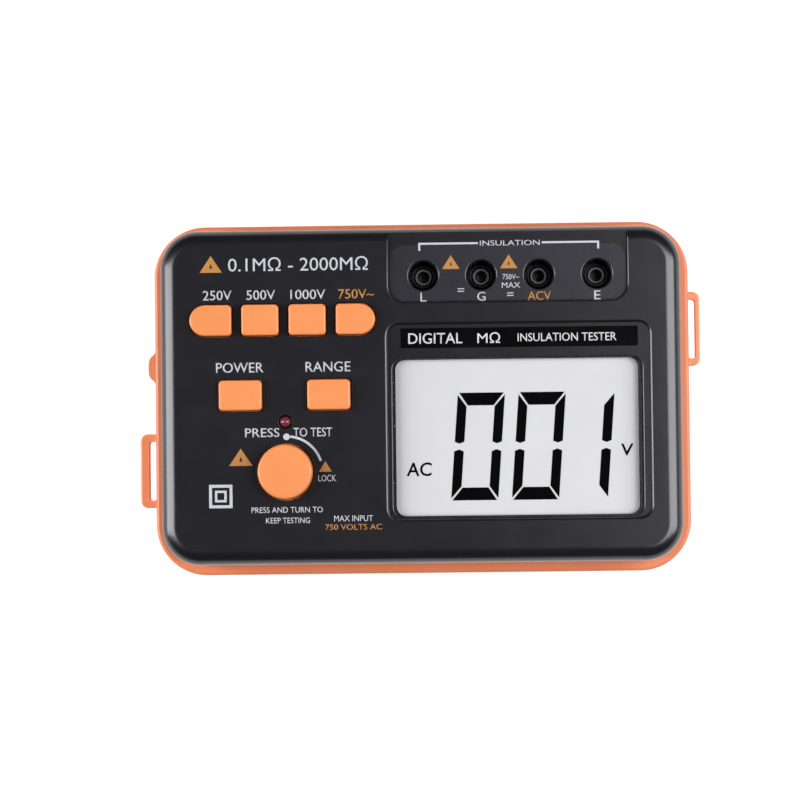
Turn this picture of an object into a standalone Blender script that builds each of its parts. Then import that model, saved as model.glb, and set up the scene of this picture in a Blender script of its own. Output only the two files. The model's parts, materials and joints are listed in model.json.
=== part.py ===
"""Insulation resistance tester, for Blender 4.5: a flat two-shell instrument lying face up.

Every size in this file is in millimetres. The last step of the build turns them into metres.
X runs across the face, Y up the face, and Z out of the face. The origin is the middle of the
footprint, on the plane that the rubber feet stand on.
"""

import math

import bmesh
import bpy
from mathutils import Matrix, Vector

METRES = 0.001
GAP = 0.3  # clearance between pieces that rest on or pass through each other
WELD = 0.002  # vertices this near each other are one

# Casing: the orange lower case, whose rim band stands out round the black upper cover
RIM_HALF_X, RIM_HALF_Y, RIM_RADIUS = 75.0, 49.0, 14.3
RIM_LOW_Z, RIM_HIGH_Z = 34.2, 40.0
CASE_BOTTOM_Z = 2.0
FLOOR_Z = 5.0
COVER_BASE_Z = RIM_HIGH_Z + GAP
COVER_BASE_X, COVER_BASE_Y, COVER_BASE_RADIUS = 72.7, 46.0, 11.2
FACE_Z = 65.0
FACE_UNDERSIDE_Z = 62.6
FACE_HALF_X, FACE_HALF_Y, FACE_RADIUS = 67.1, 41.1, 5.9
FACE_FILLET = 4.2
COVER_INNER_X, COVER_INNER_Y, COVER_INNER_RADIUS = 68.8, 42.8, 7.6
CORNER_STEPS = 7

# Screws that join the two shells, near the corners
CASE_SCREW_X, CASE_SCREW_Y = 64.6, 38.4
CASE_SCREW_LEDGE_Z = 26.0
POST_TOP_Z = 37.9
BOSS_R = 3.6
SCREW_HOLE_R, SCREW_SHANK_R = 1.75, 1.45

# Rubber feet
FOOT_X, FOOT_Y, FOOT_R = 48.0, 39.0, 5.0

# Battery compartment: four lines of two AA cells, closed from below by a screwed door
CELL_R, CELL_LENGTH, CELL_NUB_R, CELL_NUB = 7.25, 50.5, 2.75, 1.0
CELL_Z = 13.55
CELL_LINES_Y = (-22.35, -7.45, 7.45, 22.35)
TRAY_HALF_X, TRAY_HALF_Y, TRAY_WALL = 56.5, 30.7, 1.6
TRAY_ROOF_Z = 21.2
CONTACT_FACE_X = 55.3
DOOR_HALF_X, DOOR_HALF_Y, DOOR_RADIUS = 65.5, 31.7, 4.0
DOOR_THICK = 1.4
DOOR_SCREW_X = 62.0

# Circuit board, and the parts that stand on it
BOARD_HALF_X, BOARD_HALF_Y = 66.5, 41.0
BOARD_LOW_Z, BOARD_TOP_Z = 47.0, 48.6
ON_BOARD_Z = BOARD_TOP_Z + GAP
UNDER_BOARD_Z = BOARD_LOW_Z - GAP

# Display: window in a recess of the face, over the glass and its holder
BEZEL = (-9.5, 63.0, -34.1, 19.6)
BEZEL_FLOOR_Z = 64.1
WINDOW = (-7.6, 60.5, -33.4, 9.8)
WINDOW_LEDGE_Z = 62.9
WINDOW_TOP_Z = 64.5
VIEW_AREA = (-6.9, 59.6, -33.1, 9.6)
DISPLAY_PAD_Z = 61.4

# Terminals: a recess that runs out over the cover's far edge, and in its floor an opening that holds
# the panel with the four sockets behind it
RECESS = (-8.6, 56.8, 25.4, 60.0)
PANEL_OPENING = (-8.2, 56.4, 25.8, FACE_HALF_Y)
PANEL_LOW_Z, PANEL_TOP_Z = 61.6, 63.8
SOCKET_X = tuple(1.0 + 15.85 * i for i in range(4))
SOCKET_Y = 32.75
SOCKET_HOLE_R, SOCKET_BORE_R, SOCKET_OUTER_R, SOCKET_FLANGE_R = 4.1, 3.9, 4.75, 6.2
SOCKET_TOP_Z = PANEL_LOW_Z - GAP
POST_R, POST_BORE_R, POST_HIGH_Z = 3.2, 2.65, 57.0
SOCKET_NAMES = ("line", "guard", "volts", "earth")

# Keys: a row of four selector keys with rounded ends, and the power and range keys
KEY_TOP_Z = 67.8
KEY_FLANGE = 0.8
FLANGE_LOW_Z, FLANGE_HIGH_Z = 60.9, 62.3
KEY_STEM_Z = 55.0
KEY_CLEARANCE = 0.35
SELECTOR_Y = (16.7, 25.1)
SELECTOR_LEFT, SELECTOR_WIDTHS, SELECTOR_SPACE = -62.95, (11.4, 10.1, 10.1, 10.7), 2.8
SELECTOR_NAMES = ("250", "500", "1000", "ac")
LATCH_KEY_SIZE = (11.7, 8.2)
POWER_KEY, RANGE_KEY = (-49.25, 0.35), (-25.1, 0.35)
SWITCH_TOP_Z, SWITCH_WELL_Z = 57.6, 52.0

# Test knob: it presses down on a sprung slider, and turns in it to lock
KNOB = (-37.1, -20.6)
KNOB_R, KNOB_TOP_Z = 7.4, 71.0
KNOB_HOLE_R, KNOB_FLANGE_R = 7.9, 8.7
SLIDER_R, SLIDER_TOP_Z = 4.9, 60.6
LED = (-37.1, -6.9)

# Strap lugs, a wide one low on the left side and a slim one high on the right
LUG_LENGTH, LUG_ARM = 20.7, 2.0
LUG_LEFT_OUTER_X, LUG_RIGHT_OUTER_X = 79.4, 78.2
LUG_SLOT_END_X = 77.1
LUG_LEFT_Y, LUG_RIGHT_Y = -19.55, 18.7
LUG_Z = (34.4, 39.4)
LUG_ARM_Z = (35.0, 38.6)
LUG_ROOT_X = 72.3

# Adaptor inlet in the left wall, under a rubber dust plug
INLET_Y, INLET_Z = 10.0, 27.0


# ---- shapes -------------------------------------------------------------------------------


def outline(x0, x1, y0, y1, left=0.5, right=0.5, steps=3):
    """Points round a rectangle whose left and right corners have their own radii."""
    corners = ((x1, y1, right, 0), (x0, y1, left, 90), (x0, y0, left, 180), (x1, y0, right, 270))
    points = []
    for x, y, radius, start in corners:
        centre_x = x - math.copysign(radius, x - (x0 + x1) / 2)
        centre_y = y - math.copysign(radius, y - (y0 + y1) / 2)
        for step in range(steps + 1):
            angle = math.radians(start + 90 * step / steps)
            points.append((centre_x + radius * math.cos(angle), centre_y + radius * math.sin(angle)))
    return points


def ring(half_x, half_y, radius, z, steps=CORNER_STEPS):
    """A level rounded rectangle centred on the Z axis."""
    flat = outline(-half_x, half_x, -half_y, half_y, radius, radius, steps)
    return [(x, y, z) for x, y in flat]


def stack(rings):
    """A closed skin through rings that have the same number of points, capped at both ends."""
    mesh = bmesh.new()
    loops = [[mesh.verts.new(point) for point in points] for points in rings]
    for low, high in zip(loops, loops[1:]):
        for i in range(len(low)):
            j = (i + 1) % len(low)
            mesh.faces.new((low[i], low[j], high[j], high[i]))
    mesh.faces.new(loops[0])
    mesh.faces.new(loops[-1])
    bmesh.ops.recalc_face_normals(mesh, faces=mesh.faces)
    return mesh


def prism(points, z0, z1):
    return stack([[(x, y, z0) for x, y in points], [(x, y, z1) for x, y in points]])


def box(x0, x1, y0, y1, z0, z1):
    return prism([(x0, y0), (x1, y0), (x1, y1), (x0, y1)], z0, z1)


def turned(profile, segments, centre=(0.0, 0.0), closed=False):
    """A profile of (radius, z) turned about a vertical axis. A closed profile makes a ring."""
    mesh = bmesh.new()
    loops = []
    for radius, z in profile:
        count = 1 if radius == 0 else segments
        angles = [2 * math.pi * i / segments for i in range(count)]
        loops.append([
            mesh.verts.new((centre[0] + radius * math.cos(a), centre[1] + radius * math.sin(a), z))
            for a in angles
        ])
    if closed:
        loops.append(loops[0])
    for low, high in zip(loops, loops[1:]):
        for i in range(segments):
            j = (i + 1) % segments
            corners = [low[i % len(low)], low[j % len(low)], high[j % len(high)], high[i % len(high)]]
            mesh.faces.new(list(dict.fromkeys(corners)))
    bmesh.ops.recalc_face_normals(mesh, faces=mesh.faces)
    return mesh


def disc(x, y, radius, z0, z1, segments=20):
    """An upright cylinder."""
    return turned([(0, z0), (radius, z0), (radius, z1), (0, z1)], segments, (x, y))


def laid_along_x(mesh, x, y, z):
    """Turns a shape built along Z so that its Z axis points along +X, and moves it to (x, y, z)."""
    turn = Matrix.Translation((x, y, z)) @ Matrix.Rotation(math.radians(90), 4, "Y")
    bmesh.ops.transform(mesh, matrix=turn, verts=mesh.verts)
    return mesh


def wire(points, radius):
    """A six-sided wire with flat ends along a line of points."""
    curve = bpy.data.curves.new("wire", "CURVE")
    curve.dimensions = "3D"
    curve.bevel_depth = radius
    curve.bevel_resolution = 1
    curve.use_fill_caps = True
    spline = curve.splines.new("POLY")
    spline.points.add(len(points) - 1)
    for place, point in zip(points, spline.points):
        point.co = (*place, 1.0)
    helper = bpy.data.objects.new("wire", curve)
    bpy.context.scene.collection.objects.link(helper)
    graph = bpy.context.evaluated_depsgraph_get()
    mesh = bmesh.new()
    mesh.from_mesh(bpy.data.meshes.new_from_object(helper.evaluated_get(graph)))
    bpy.data.objects.remove(helper)
    bmesh.ops.remove_doubles(mesh, verts=mesh.verts, dist=WELD)
    bmesh.ops.recalc_face_normals(mesh, faces=mesh.faces)
    return mesh


def coil(start_r, end_r, z0, z1, turns, wire_r, steps=10):
    """A helical wire about the Z axis."""
    points = []
    for i in range(turns * steps + 1):
        share = i / (turns * steps)
        radius = start_r + (end_r - start_r) * share
        angle = 2 * math.pi * turns * share
        points.append((radius * math.cos(angle), radius * math.sin(angle), z0 + (z1 - z0) * share))
    return wire(points, wire_r)


# ---- objects ------------------------------------------------------------------------------


def material(name, colour, roughness, metallic=0.0, alpha=1.0):
    made = bpy.data.materials.new(name)
    made.use_nodes = True
    shader = made.node_tree.nodes["Principled BSDF"]
    shader.inputs["Base Color"].default_value = (*colour, 1.0)
    shader.inputs["Roughness"].default_value = roughness
    shader.inputs["Metallic"].default_value = metallic
    shader.inputs["Alpha"].default_value = alpha
    return made


def build_object(name, mesh, finish, origin=(0.0, 0.0, 0.0), smooth=True):
    """Makes the named object from a shape, with the object's origin where it is asked for."""
    bmesh.ops.translate(mesh, verts=mesh.verts, vec=-Vector(origin))
    data = bpy.data.meshes.new(name)
    mesh.to_mesh(data)
    mesh.free()
    if finish is not None:
        data.materials.append(finish)
    if smooth:
        data.shade_smooth()
        data.set_sharp_from_angle(angle=math.radians(32))
    made = bpy.data.objects.new(name, data)
    made.location = origin
    bpy.context.scene.collection.objects.link(made)
    return made


def combine(target, operation, shapes):
    """Joins shapes to the target, or cuts them from it, one Boolean at a time."""
    for shape in shapes:
        tool = build_object("tool", shape, None, smooth=False)
        modifier = target.modifiers.new("combine", "BOOLEAN")
        modifier.operation = operation
        modifier.object = tool
        graph = bpy.context.evaluated_depsgraph_get()
        result = bmesh.new()
        result.from_mesh(target.evaluated_get(graph).data)
        bmesh.ops.remove_doubles(result, verts=result.verts, dist=WELD)
        target.modifiers.clear()
        result.to_mesh(target.data)
        result.free()
        bpy.data.objects.remove(tool)
    return target


def join(target, *shapes):
    return combine(target, "UNION", shapes)


def cut(target, *shapes):
    return combine(target, "DIFFERENCE", shapes)


# ---- casing -------------------------------------------------------------------------------


def corners(x, y):
    return [(side_x * x, side_y * y) for side_x in (-1, 1) for side_y in (-1, 1)]


def grown(area, by):
    """An (x0, x1, y0, y1) area with each side moved out."""
    return (area[0] - by, area[1] + by, area[2] - by, area[3] + by)


def selector_spans():
    """(left, right, left radius, right radius) of each selector key."""
    round_end, square_end = (SELECTOR_Y[1] - SELECTOR_Y[0]) / 2, 0.5
    spans, left = [], SELECTOR_LEFT
    for width in SELECTOR_WIDTHS:
        spans.append([left, left + width, square_end, square_end])
        left += width + SELECTOR_SPACE
    spans[0][2] = round_end
    spans[-1][3] = round_end
    return spans


def key_outline(x0, x1, y0, y1, left, right, grow):
    """A key's outline grown all round, with the round ends kept concentric."""
    steps = 7 if max(left, right) > 2 else 3
    return outline(x0 - grow, x1 + grow, y0 - grow, y1 + grow, left + grow, right + grow, steps)


def upper_cover(finish):
    """The black shell: a filleted face, drafted sides, and a lip that drops inside the lower case."""
    face = []
    for degrees in range(0, 91, 18):
        out = FACE_FILLET * math.sin(math.radians(degrees))
        z = FACE_Z - FACE_FILLET + FACE_FILLET * math.cos(math.radians(degrees))
        face.append(ring(FACE_HALF_X + out, FACE_HALF_Y + out, FACE_RADIUS + out, z))
    sides_and_inside = [
        ring(COVER_BASE_X, COVER_BASE_Y, COVER_BASE_RADIUS, COVER_BASE_Z),
        ring(70.2, 44.2, 9.0, COVER_BASE_Z),
        ring(70.2, 44.2, 9.0, COVER_BASE_Z - 2),
        ring(COVER_INNER_X, COVER_INNER_Y, COVER_INNER_RADIUS, COVER_BASE_Z - 2),
        ring(COVER_INNER_X, COVER_INNER_Y, COVER_INNER_RADIUS, 60.0),
        ring(66.2, 40.2, 5.0, FACE_UNDERSIDE_Z),
    ]
    cover = build_object("upper_cover", stack(face + sides_and_inside), finish)

    overlap = FACE_UNDERSIDE_Z + 0.2
    join(
        cover,
        prism(outline(*grown(BEZEL, 1.4), 4, 4), DISPLAY_PAD_Z, overlap),
        *[disc(x, y, BOSS_R, POST_TOP_Z + GAP, overlap)
          for x, y in corners(CASE_SCREW_X, CASE_SCREW_Y)],
        *[disc(x, y, 1.8, ON_BOARD_Z, overlap, 10)
          for x, y in ((-65.0, 10.0), (-65.0, -20.0), (67.6, -8.0), (-13.8, -38.8))],
    )
    through = (FACE_UNDERSIDE_Z - 5, FACE_Z + 5)
    cut(
        cover,
        prism(outline(*BEZEL, 3.5, 3.5, 4), BEZEL_FLOOR_Z, through[1]),
        prism(outline(*grown(WINDOW, GAP), 3.2, 3.2, 4), WINDOW_LEDGE_Z, through[1]),
        prism(outline(*VIEW_AREA, 2.7, 2.7, 4), *through),
        prism(outline(*RECESS, 4.2, 4.2, 5), PANEL_TOP_Z, through[1]),
        prism(outline(*PANEL_OPENING, 3.8, 3.8, 5), *through),
        disc(*KNOB, KNOB_HOLE_R, *through, 32),
        disc(*LED, 1.8, *through, 12),
        *[prism(key_outline(x0, x1, *SELECTOR_Y, left, right, KEY_CLEARANCE), *through)
          for x0, x1, left, right in selector_spans()],
        *[prism(key_outline(*latch_key_area(key), 1.2, 1.2, KEY_CLEARANCE), *through)
          for key in (POWER_KEY, RANGE_KEY)],
        *[disc(x, y, SCREW_HOLE_R, POST_TOP_Z - 1, 52, 10)
          for x, y in corners(CASE_SCREW_X, CASE_SCREW_Y)],
    )
    return cover


def terminal_panel(finish):
    """The inset plate with the four socket holes. A border under the cover's face holds it in."""
    x0, x1, y0, y1 = grown(PANEL_OPENING, -GAP)
    border = box(x0 - 1.9, x1 + 1.9, y0 - 1.7, y1 - 1.0, PANEL_LOW_Z, FACE_UNDERSIDE_Z - GAP)
    panel = build_object("terminal_panel", border, finish)
    join(panel, prism(outline(x0, x1, y0, y1, 3.5, 3.5, 5), PANEL_LOW_Z + 0.2, PANEL_TOP_Z))
    return cut(panel, *[disc(x, SOCKET_Y, SOCKET_HOLE_R, 60, 70) for x in SOCKET_X])


def lug_arms(centre_y):
    """The low and high Y of a lug's two arms."""
    ends = (centre_y - LUG_LENGTH / 2, centre_y + LUG_LENGTH / 2)
    return ((ends[0], ends[0] + LUG_ARM), (ends[1] - LUG_ARM, ends[1]))


def side_span(side, near, far):
    """X values on one side of the case, in rising order."""
    return sorted((side * near, side * far))


def lower_case(finish):
    """The orange shell, with its rim band, screw posts, door opening and pockets for the lugs."""
    case = build_object("lower_case", stack([
        ring(70.6, 44.6, 10.6, CASE_BOTTOM_Z),
        ring(71.6, 45.6, 11.6, CASE_BOTTOM_Z + 0.6),
        ring(72.1, 46.1, 12.1, CASE_BOTTOM_Z + 2),
        ring(73.6, 47.6, 12.6, RIM_LOW_Z - 1.2),
        ring(RIM_HALF_X, RIM_HALF_Y, RIM_RADIUS, RIM_LOW_Z),
        ring(RIM_HALF_X, RIM_HALF_Y, RIM_RADIUS, RIM_HIGH_Z - 0.7),
        ring(RIM_HALF_X - 0.7, RIM_HALF_Y - 0.7, RIM_RADIUS - 0.7, RIM_HIGH_Z),
        ring(71.0, 45.0, 9.8, RIM_HIGH_Z),
        ring(69.6, 43.6, 9.6, FLOOR_Z),
    ]), finish)

    posts = corners(CASE_SCREW_X, CASE_SCREW_Y)
    join(
        case,
        *[disc(x, y, 4.0, FLOOR_Z - 1, POST_TOP_Z) for x, y in posts],
        *[disc(side * DOOR_SCREW_X, 0, 3.2, FLOOR_Z - 1, 16, 16) for side in (-1, 1)],
    )
    below = CASE_BOTTOM_Z - 1
    door_recess = outline(*grown((-DOOR_HALF_X, DOOR_HALF_X, -DOOR_HALF_Y, DOOR_HALF_Y), GAP),
                          DOOR_RADIUS + GAP, DOOR_RADIUS + GAP)
    cut(
        case,
        *[disc(x, y, 3.2, below, CASE_SCREW_LEDGE_Z, 16) for x, y in posts],
        *[disc(x, y, SCREW_HOLE_R, CASE_SCREW_LEDGE_Z - 1, RIM_HIGH_Z + 1, 10) for x, y in posts],
        *[disc(x, y, FOOT_R + GAP, below, CASE_BOTTOM_Z + 1.1) for x, y in corners(FOOT_X, FOOT_Y)],
        prism(door_recess, below, CASE_BOTTOM_Z + DOOR_THICK + GAP),
        box(-56.2, 56.2, -30.4, 30.4, below, FLOOR_Z + 1),
        *[disc(side * DOOR_SCREW_X, 0, SCREW_HOLE_R, below, 14, 10) for side in (-1, 1)],
        laid_along_x(disc(0, 0, 4.2, -5, 5, 16), -72.0, INLET_Y, INLET_Z),
    )
    for side, centre_y in ((-1, LUG_LEFT_Y), (1, LUG_RIGHT_Y)):
        for y0, y1 in lug_arms(centre_y):
            x0, x1 = side_span(side, LUG_ROOT_X - GAP, RIM_HALF_X + 1)
            cut(case, box(x0, x1, y0 - GAP, y1 + GAP, LUG_ARM_Z[0] - GAP, LUG_ARM_Z[1] + GAP))
    return case


def strap_lug(name, side, outer_x, centre_y, finish):
    """A C-shaped loop: an outer bar for the strap, on two arms rooted in the rim band."""
    x0, x1 = side_span(side, LUG_SLOT_END_X, outer_x)
    half = LUG_LENGTH / 2
    bar = prism(outline(x0, x1, centre_y - half, centre_y + half, 0.45, 0.45, 3), *LUG_Z)
    lug = build_object(name, bar, finish)
    for y0, y1 in lug_arms(centre_y):
        x0, x1 = side_span(side, LUG_ROOT_X, outer_x - 0.6)
        join(lug, box(x0, x1, y0 + 0.15, y1 - 0.15, *LUG_ARM_Z))
    return lug


def flat_head_screw(name, x, y, top_z, finish):
    """A countersunk screw driven from below, with a cross recess in its head."""
    low = CASE_BOTTOM_Z
    profile = [(0, low), (2.7, low), (SCREW_SHANK_R, low + 1.2), (SCREW_SHANK_R, top_z), (0, top_z)]
    screw = build_object(name, turned(profile, 14, (x, y)), finish)
    return cross_recess(screw, x, y, low)


def pan_head_screw(name, x, y, finish):
    head_z = CASE_SCREW_LEDGE_Z - GAP
    profile = [(0, head_z - 2.2), (2.2, head_z - 2.2), (2.8, head_z - 1.5), (2.8, head_z),
               (SCREW_SHANK_R, head_z), (SCREW_SHANK_R, 48.5), (0.6, 49.5), (0, 49.5)]
    screw = build_object(name, turned(profile, 14, (x, y)), finish)
    return cross_recess(screw, x, y, head_z - 2.2)


def cross_recess(screw, x, y, head_z):
    long, thin, deep = 1.5, 0.35, 0.8
    return cut(
        screw,
        box(x - long, x + long, y - thin, y + thin, head_z - 1, head_z + deep),
        box(x - thin, x + thin, y - long, y + long, head_z - 1, head_z + deep),
    )


def foot(name, x, y, finish):
    profile = [(0, 0), (FOOT_R - 0.6, 0), (FOOT_R, 0.6), (FOOT_R, 2.8), (0, 2.8)]
    return build_object(name, turned(profile, 20, (x, y)), finish)


def adaptor_inlet(finish):
    """A barrel inlet: a square body inside the wall, and a round nose with a centre pin."""
    inlet = build_object("adaptor_inlet", box(-70.0, -58.6, INLET_Y - 4.6, INLET_Y + 4.6,
                                              INLET_Z - 4.0, INLET_Z + 5.0), finish)
    place = (-73.0, INLET_Y, INLET_Z)
    join(inlet, laid_along_x(disc(0, 0, 3.9, 0, 4, 16), *place))
    tube = [(1.0, -1), (2.9, -1), (2.9, 10), (1.0, 10)]
    cut(inlet, laid_along_x(turned(tube, 16, closed=True), *place))
    return cut(inlet, laid_along_x(disc(0, 0, 2.0, -1, 1.5, 12), *place))


def inlet_plug(finish):
    """The rubber dust plug: a domed head outside the wall, and a hollow stub in the inlet."""
    profile = [(0, 0), (2.4, 0), (3.9, 0.6), (4.65, 1.9), (4.65, 4.1), (2.5, 4.1), (2.5, 9.5),
               (1.3, 9.5), (1.3, 5.2), (0, 5.2)]
    place = (-78.0, INLET_Y, INLET_Z)
    return build_object("inlet_plug", laid_along_x(turned(profile, 18), *place), finish, origin=place)


# ---- battery compartment ------------------------------------------------------------------


def battery_door(finish):
    door = (-DOOR_HALF_X, DOOR_HALF_X, -DOOR_HALF_Y, DOOR_HALF_Y)
    plate = prism(outline(*door, DOOR_RADIUS, DOOR_RADIUS), CASE_BOTTOM_Z, CASE_BOTTOM_Z + DOOR_THICK)
    made = build_object("battery_door", plate, finish)
    join(made, box(-55.8, 55.8, -30.0, 30.0, CASE_BOTTOM_Z + DOOR_THICK - 0.2, 5.6))
    hole = [(0, CASE_BOTTOM_Z - 1), (3.9, CASE_BOTTOM_Z - 1), (3.0, CASE_BOTTOM_Z),
            (1.8, CASE_BOTTOM_Z + 1.2), (1.8, 6.0), (0, 6.0)]
    return cut(made, *[turned(hole, 14, (side * DOOR_SCREW_X, 0)) for side in (-1, 1)])


def battery_tray(finish):
    """The open-bottomed well that keeps the cells apart from the electronics."""
    outer = TRAY_WALL
    shell = box(-TRAY_HALF_X - outer, TRAY_HALF_X + outer, -TRAY_HALF_Y - outer, TRAY_HALF_Y + outer,
                FLOOR_Z + GAP, TRAY_ROOF_Z + outer)
    made = build_object("battery_tray", shell, finish)
    return cut(made, box(-TRAY_HALF_X, TRAY_HALF_X, -TRAY_HALF_Y, TRAY_HALF_Y, 0, TRAY_ROOF_Z))


def cell(name, x, y, nub_side, finish):
    """An AA cell lying along X, with its nub towards +X or -X."""
    can = CELL_LENGTH - CELL_NUB
    profile = [(0, 0), (CELL_R - 0.6, 0), (CELL_R, 0.6), (CELL_R, can - 0.8), (CELL_R - 1, can),
               (CELL_NUB_R, can), (CELL_NUB_R, CELL_LENGTH), (0, CELL_LENGTH)]
    if nub_side < 0:
        profile = [(radius, CELL_LENGTH - z) for radius, z in reversed(profile)]
    return build_object(name, laid_along_x(turned(profile, 16), x, y, CELL_Z), finish)


def contact_strip(name, side, finish):
    """A plated strip at one end of the tray, with bumps for the nubs and coils for the cans."""
    x0, x1 = side_span(side, CONTACT_FACE_X, CONTACT_FACE_X + 0.9)
    strip = build_object(name, box(x0, x1, -30.2, 30.2, 6.3, 20.9), finish)
    for i, y in enumerate(CELL_LINES_Y):
        meets_nub = (i % 2 == 0) == (side > 0)
        if meets_nub:
            bump = disc(0, 0, 3.2, 0, 4.3, 12)
        else:
            bump = coil(5.0, 2.6, 0, 3.8, 2, 0.45)
        away = laid_along_x(bump, 0, y, CELL_Z)
        if side > 0:
            turn = Matrix.Rotation(math.radians(180), 4, "Z")
            swing = Matrix.Translation((0, y, 0)) @ turn @ Matrix.Translation((0, -y, 0))
            bmesh.ops.transform(away, matrix=swing, verts=away.verts)
        shift = Matrix.Translation((side * (CONTACT_FACE_X + 0.25), 0, 0))
        bmesh.ops.transform(away, matrix=shift, verts=away.verts)
        join(strip, away)
    return strip


def battery_lead(finish):
    """The supply lead from the tray's roof up to the underside of the board."""
    low, high = (54.0, TRAY_ROOF_Z + TRAY_WALL + GAP), (46.0, UNDER_BOARD_Z)
    points, count = [], 10
    for i in range(count + 1):
        share = i / count
        sway = share * share * (3 - 2 * share)
        points.append((low[0] + (high[0] - low[0]) * sway, -27.0, low[1] + (high[1] - low[1]) * share))
    return build_object("battery_lead", wire(points, 1.0), finish)


# ---- display ------------------------------------------------------------------------------


def display(clear, glass, white, rubber):
    build_object("lcd_window", stack([
        [(x, y, WINDOW_LEDGE_Z + GAP) for x, y in outline(*WINDOW, 2.9, 2.9, 4)],
        [(x, y, WINDOW_TOP_Z - 0.35) for x, y in outline(*WINDOW, 2.9, 2.9, 4)],
        [(x, y, WINDOW_TOP_Z) for x, y in outline(*grown(WINDOW, -0.35), 2.55, 2.55, 4)],
    ]), clear)
    build_object("lcd_glass", box(-8.4, 61.0, -34.6, 11.4, 58.9, DISPLAY_PAD_Z - GAP), glass)
    build_object("lcd_zebra_strip", box(-5.0, 57.5, -34.3, -32.3, ON_BOARD_Z, 58.6), rubber)
    holder = build_object("lcd_holder", box(-10.4, 63.0, -36.6, 13.4, ON_BOARD_Z, 60.9), white)
    cut(
        holder,
        box(-8.8, 61.4, -35.0, 11.8, 58.6, 70),
        box(-4.0, 57.0, -30.0, 7.0, 40, 70),
        box(-5.4, 57.9, -34.7, -31.9, 40, 70),
        disc(CASE_SCREW_X, -CASE_SCREW_Y, BOSS_R + GAP, 40, 70),
    )


# ---- board and parts on it ----------------------------------------------------------------


def main_board(finish):
    """The board, notched at its corners round the cover's screw bosses."""
    x, y, notch_x, notch_y = BOARD_HALF_X, BOARD_HALF_Y, 59.0, 33.0
    quarter = [(x, notch_y), (notch_x, notch_y), (notch_x, y)]
    points = quarter + [(-a, b) for a, b in reversed(quarter)]
    points += [(-a, -b) for a, b in quarter] + [(a, -b) for a, b in reversed(quarter)]
    return build_object("main_board", prism(points, BOARD_LOW_Z, BOARD_TOP_Z), finish)


def under_board_parts(ferrite, black, blue):
    core = build_object("hv_transformer", box(-48.0, -22.0, -20.0, 0.0, 27.0, 44.0), ferrite)
    join(core, box(-43.0, -27.0, -24.0, 4.0, 29.5, 41.5), box(-49.0, -21.0, -22.0, 2.0, 43.0, UNDER_BOARD_Z))
    build_object("hv_capacitor", disc(5.0, -5.0, 6.0, 29.0, UNDER_BOARD_Z, 18), blue)
    build_object("buzzer", disc(35.0, 15.0, 6.0, 40.5, UNDER_BOARD_Z, 18), black)


def socket(name, x, black, brass):
    """A 4 mm socket under the panel: an insulating sleeve with a centre post, and a contact in it."""
    floor_z, leg_r, tube_r, wall = 51.0, 1.1, 2.0, 0.35
    flange_low_z = SOCKET_TOP_Z - 1.5
    sleeve = [(SOCKET_FLANGE_R, SOCKET_TOP_Z), (SOCKET_FLANGE_R, flange_low_z),
              (SOCKET_OUTER_R, flange_low_z), (SOCKET_OUTER_R, ON_BOARD_Z), (leg_r, ON_BOARD_Z),
              (leg_r, floor_z - 1), (POST_BORE_R, floor_z - 1), (POST_BORE_R, POST_HIGH_Z),
              (POST_R, POST_HIGH_Z), (POST_R, floor_z), (SOCKET_BORE_R, floor_z),
              (SOCKET_BORE_R, SOCKET_TOP_Z)]
    build_object("socket_sleeve_" + name, turned(sleeve, 18, (x, SOCKET_Y), closed=True), black)
    contact_top_z, contact_low_z = POST_HIGH_Z - 0.4, floor_z - 0.6
    contact = [(0, contact_low_z + 1), (tube_r, contact_low_z + 1), (tube_r, contact_top_z),
               (tube_r + wall, contact_top_z), (tube_r + wall, contact_low_z),
               (leg_r - GAP, contact_low_z), (leg_r - GAP, ON_BOARD_Z), (0, ON_BOARD_Z)]
    build_object("socket_contact_" + name, turned(contact, 14, (x, SOCKET_Y)), brass)


def indicator_lamp(finish):
    """A 3 mm lamp on two legs."""
    x, y = LED
    profile = [(0, 58.0), (1.5, 58.0), (1.5, 65.0), (1.1, 65.7), (0, 66.0)]
    lamp = build_object("test_lamp", turned(profile, 12, LED), finish)
    for side in (-1, 1):
        leg = x + side * 0.8
        join(lamp, box(leg - 0.25, leg + 0.25, y - 0.25, y + 0.25, ON_BOARD_Z, 58.5))
    return lamp


# ---- keys, switches and knob --------------------------------------------------------------


def latch_key_area(centre):
    half_x, half_y = LATCH_KEY_SIZE[0] / 2, LATCH_KEY_SIZE[1] / 2
    return (centre[0] - half_x, centre[0] + half_x, centre[1] - half_y, centre[1] + half_y)


def key(name, x0, x1, y0, y1, left, right, finish):
    """A key cap with a flange that keeps it in the cover, and a square stem into its switch."""
    origin = ((x0 + x1) / 2, (y0 + y1) / 2, KEY_TOP_Z)

    def level(grow, z):
        return [(x, y, z) for x, y in key_outline(x0, x1, y0, y1, left, right, grow)]

    cap = stack([
        level(KEY_FLANGE, FLANGE_LOW_Z),
        level(KEY_FLANGE, FLANGE_HIGH_Z),
        level(0, FLANGE_HIGH_Z),
        level(0, KEY_TOP_Z - 0.4),
        level(-0.4, KEY_TOP_Z),
    ])
    made = build_object(name, cap, finish, origin)
    x, y = origin[:2]
    return join(made, box(x - 1.8, x + 1.8, y - 1.8, y + 1.8, KEY_STEM_Z, FLANGE_LOW_Z + 0.5))


def switch_body(name, area, stems, finish):
    """A switch housing on the board, with a square well for each stem."""
    body = build_object(name, box(*area, ON_BOARD_Z, SWITCH_TOP_Z), finish)
    return cut(body, *[box(x - 2.3, x + 2.3, y - 2.3, y + 2.3, SWITCH_WELL_Z, 60) for x, y in stems])


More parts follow.
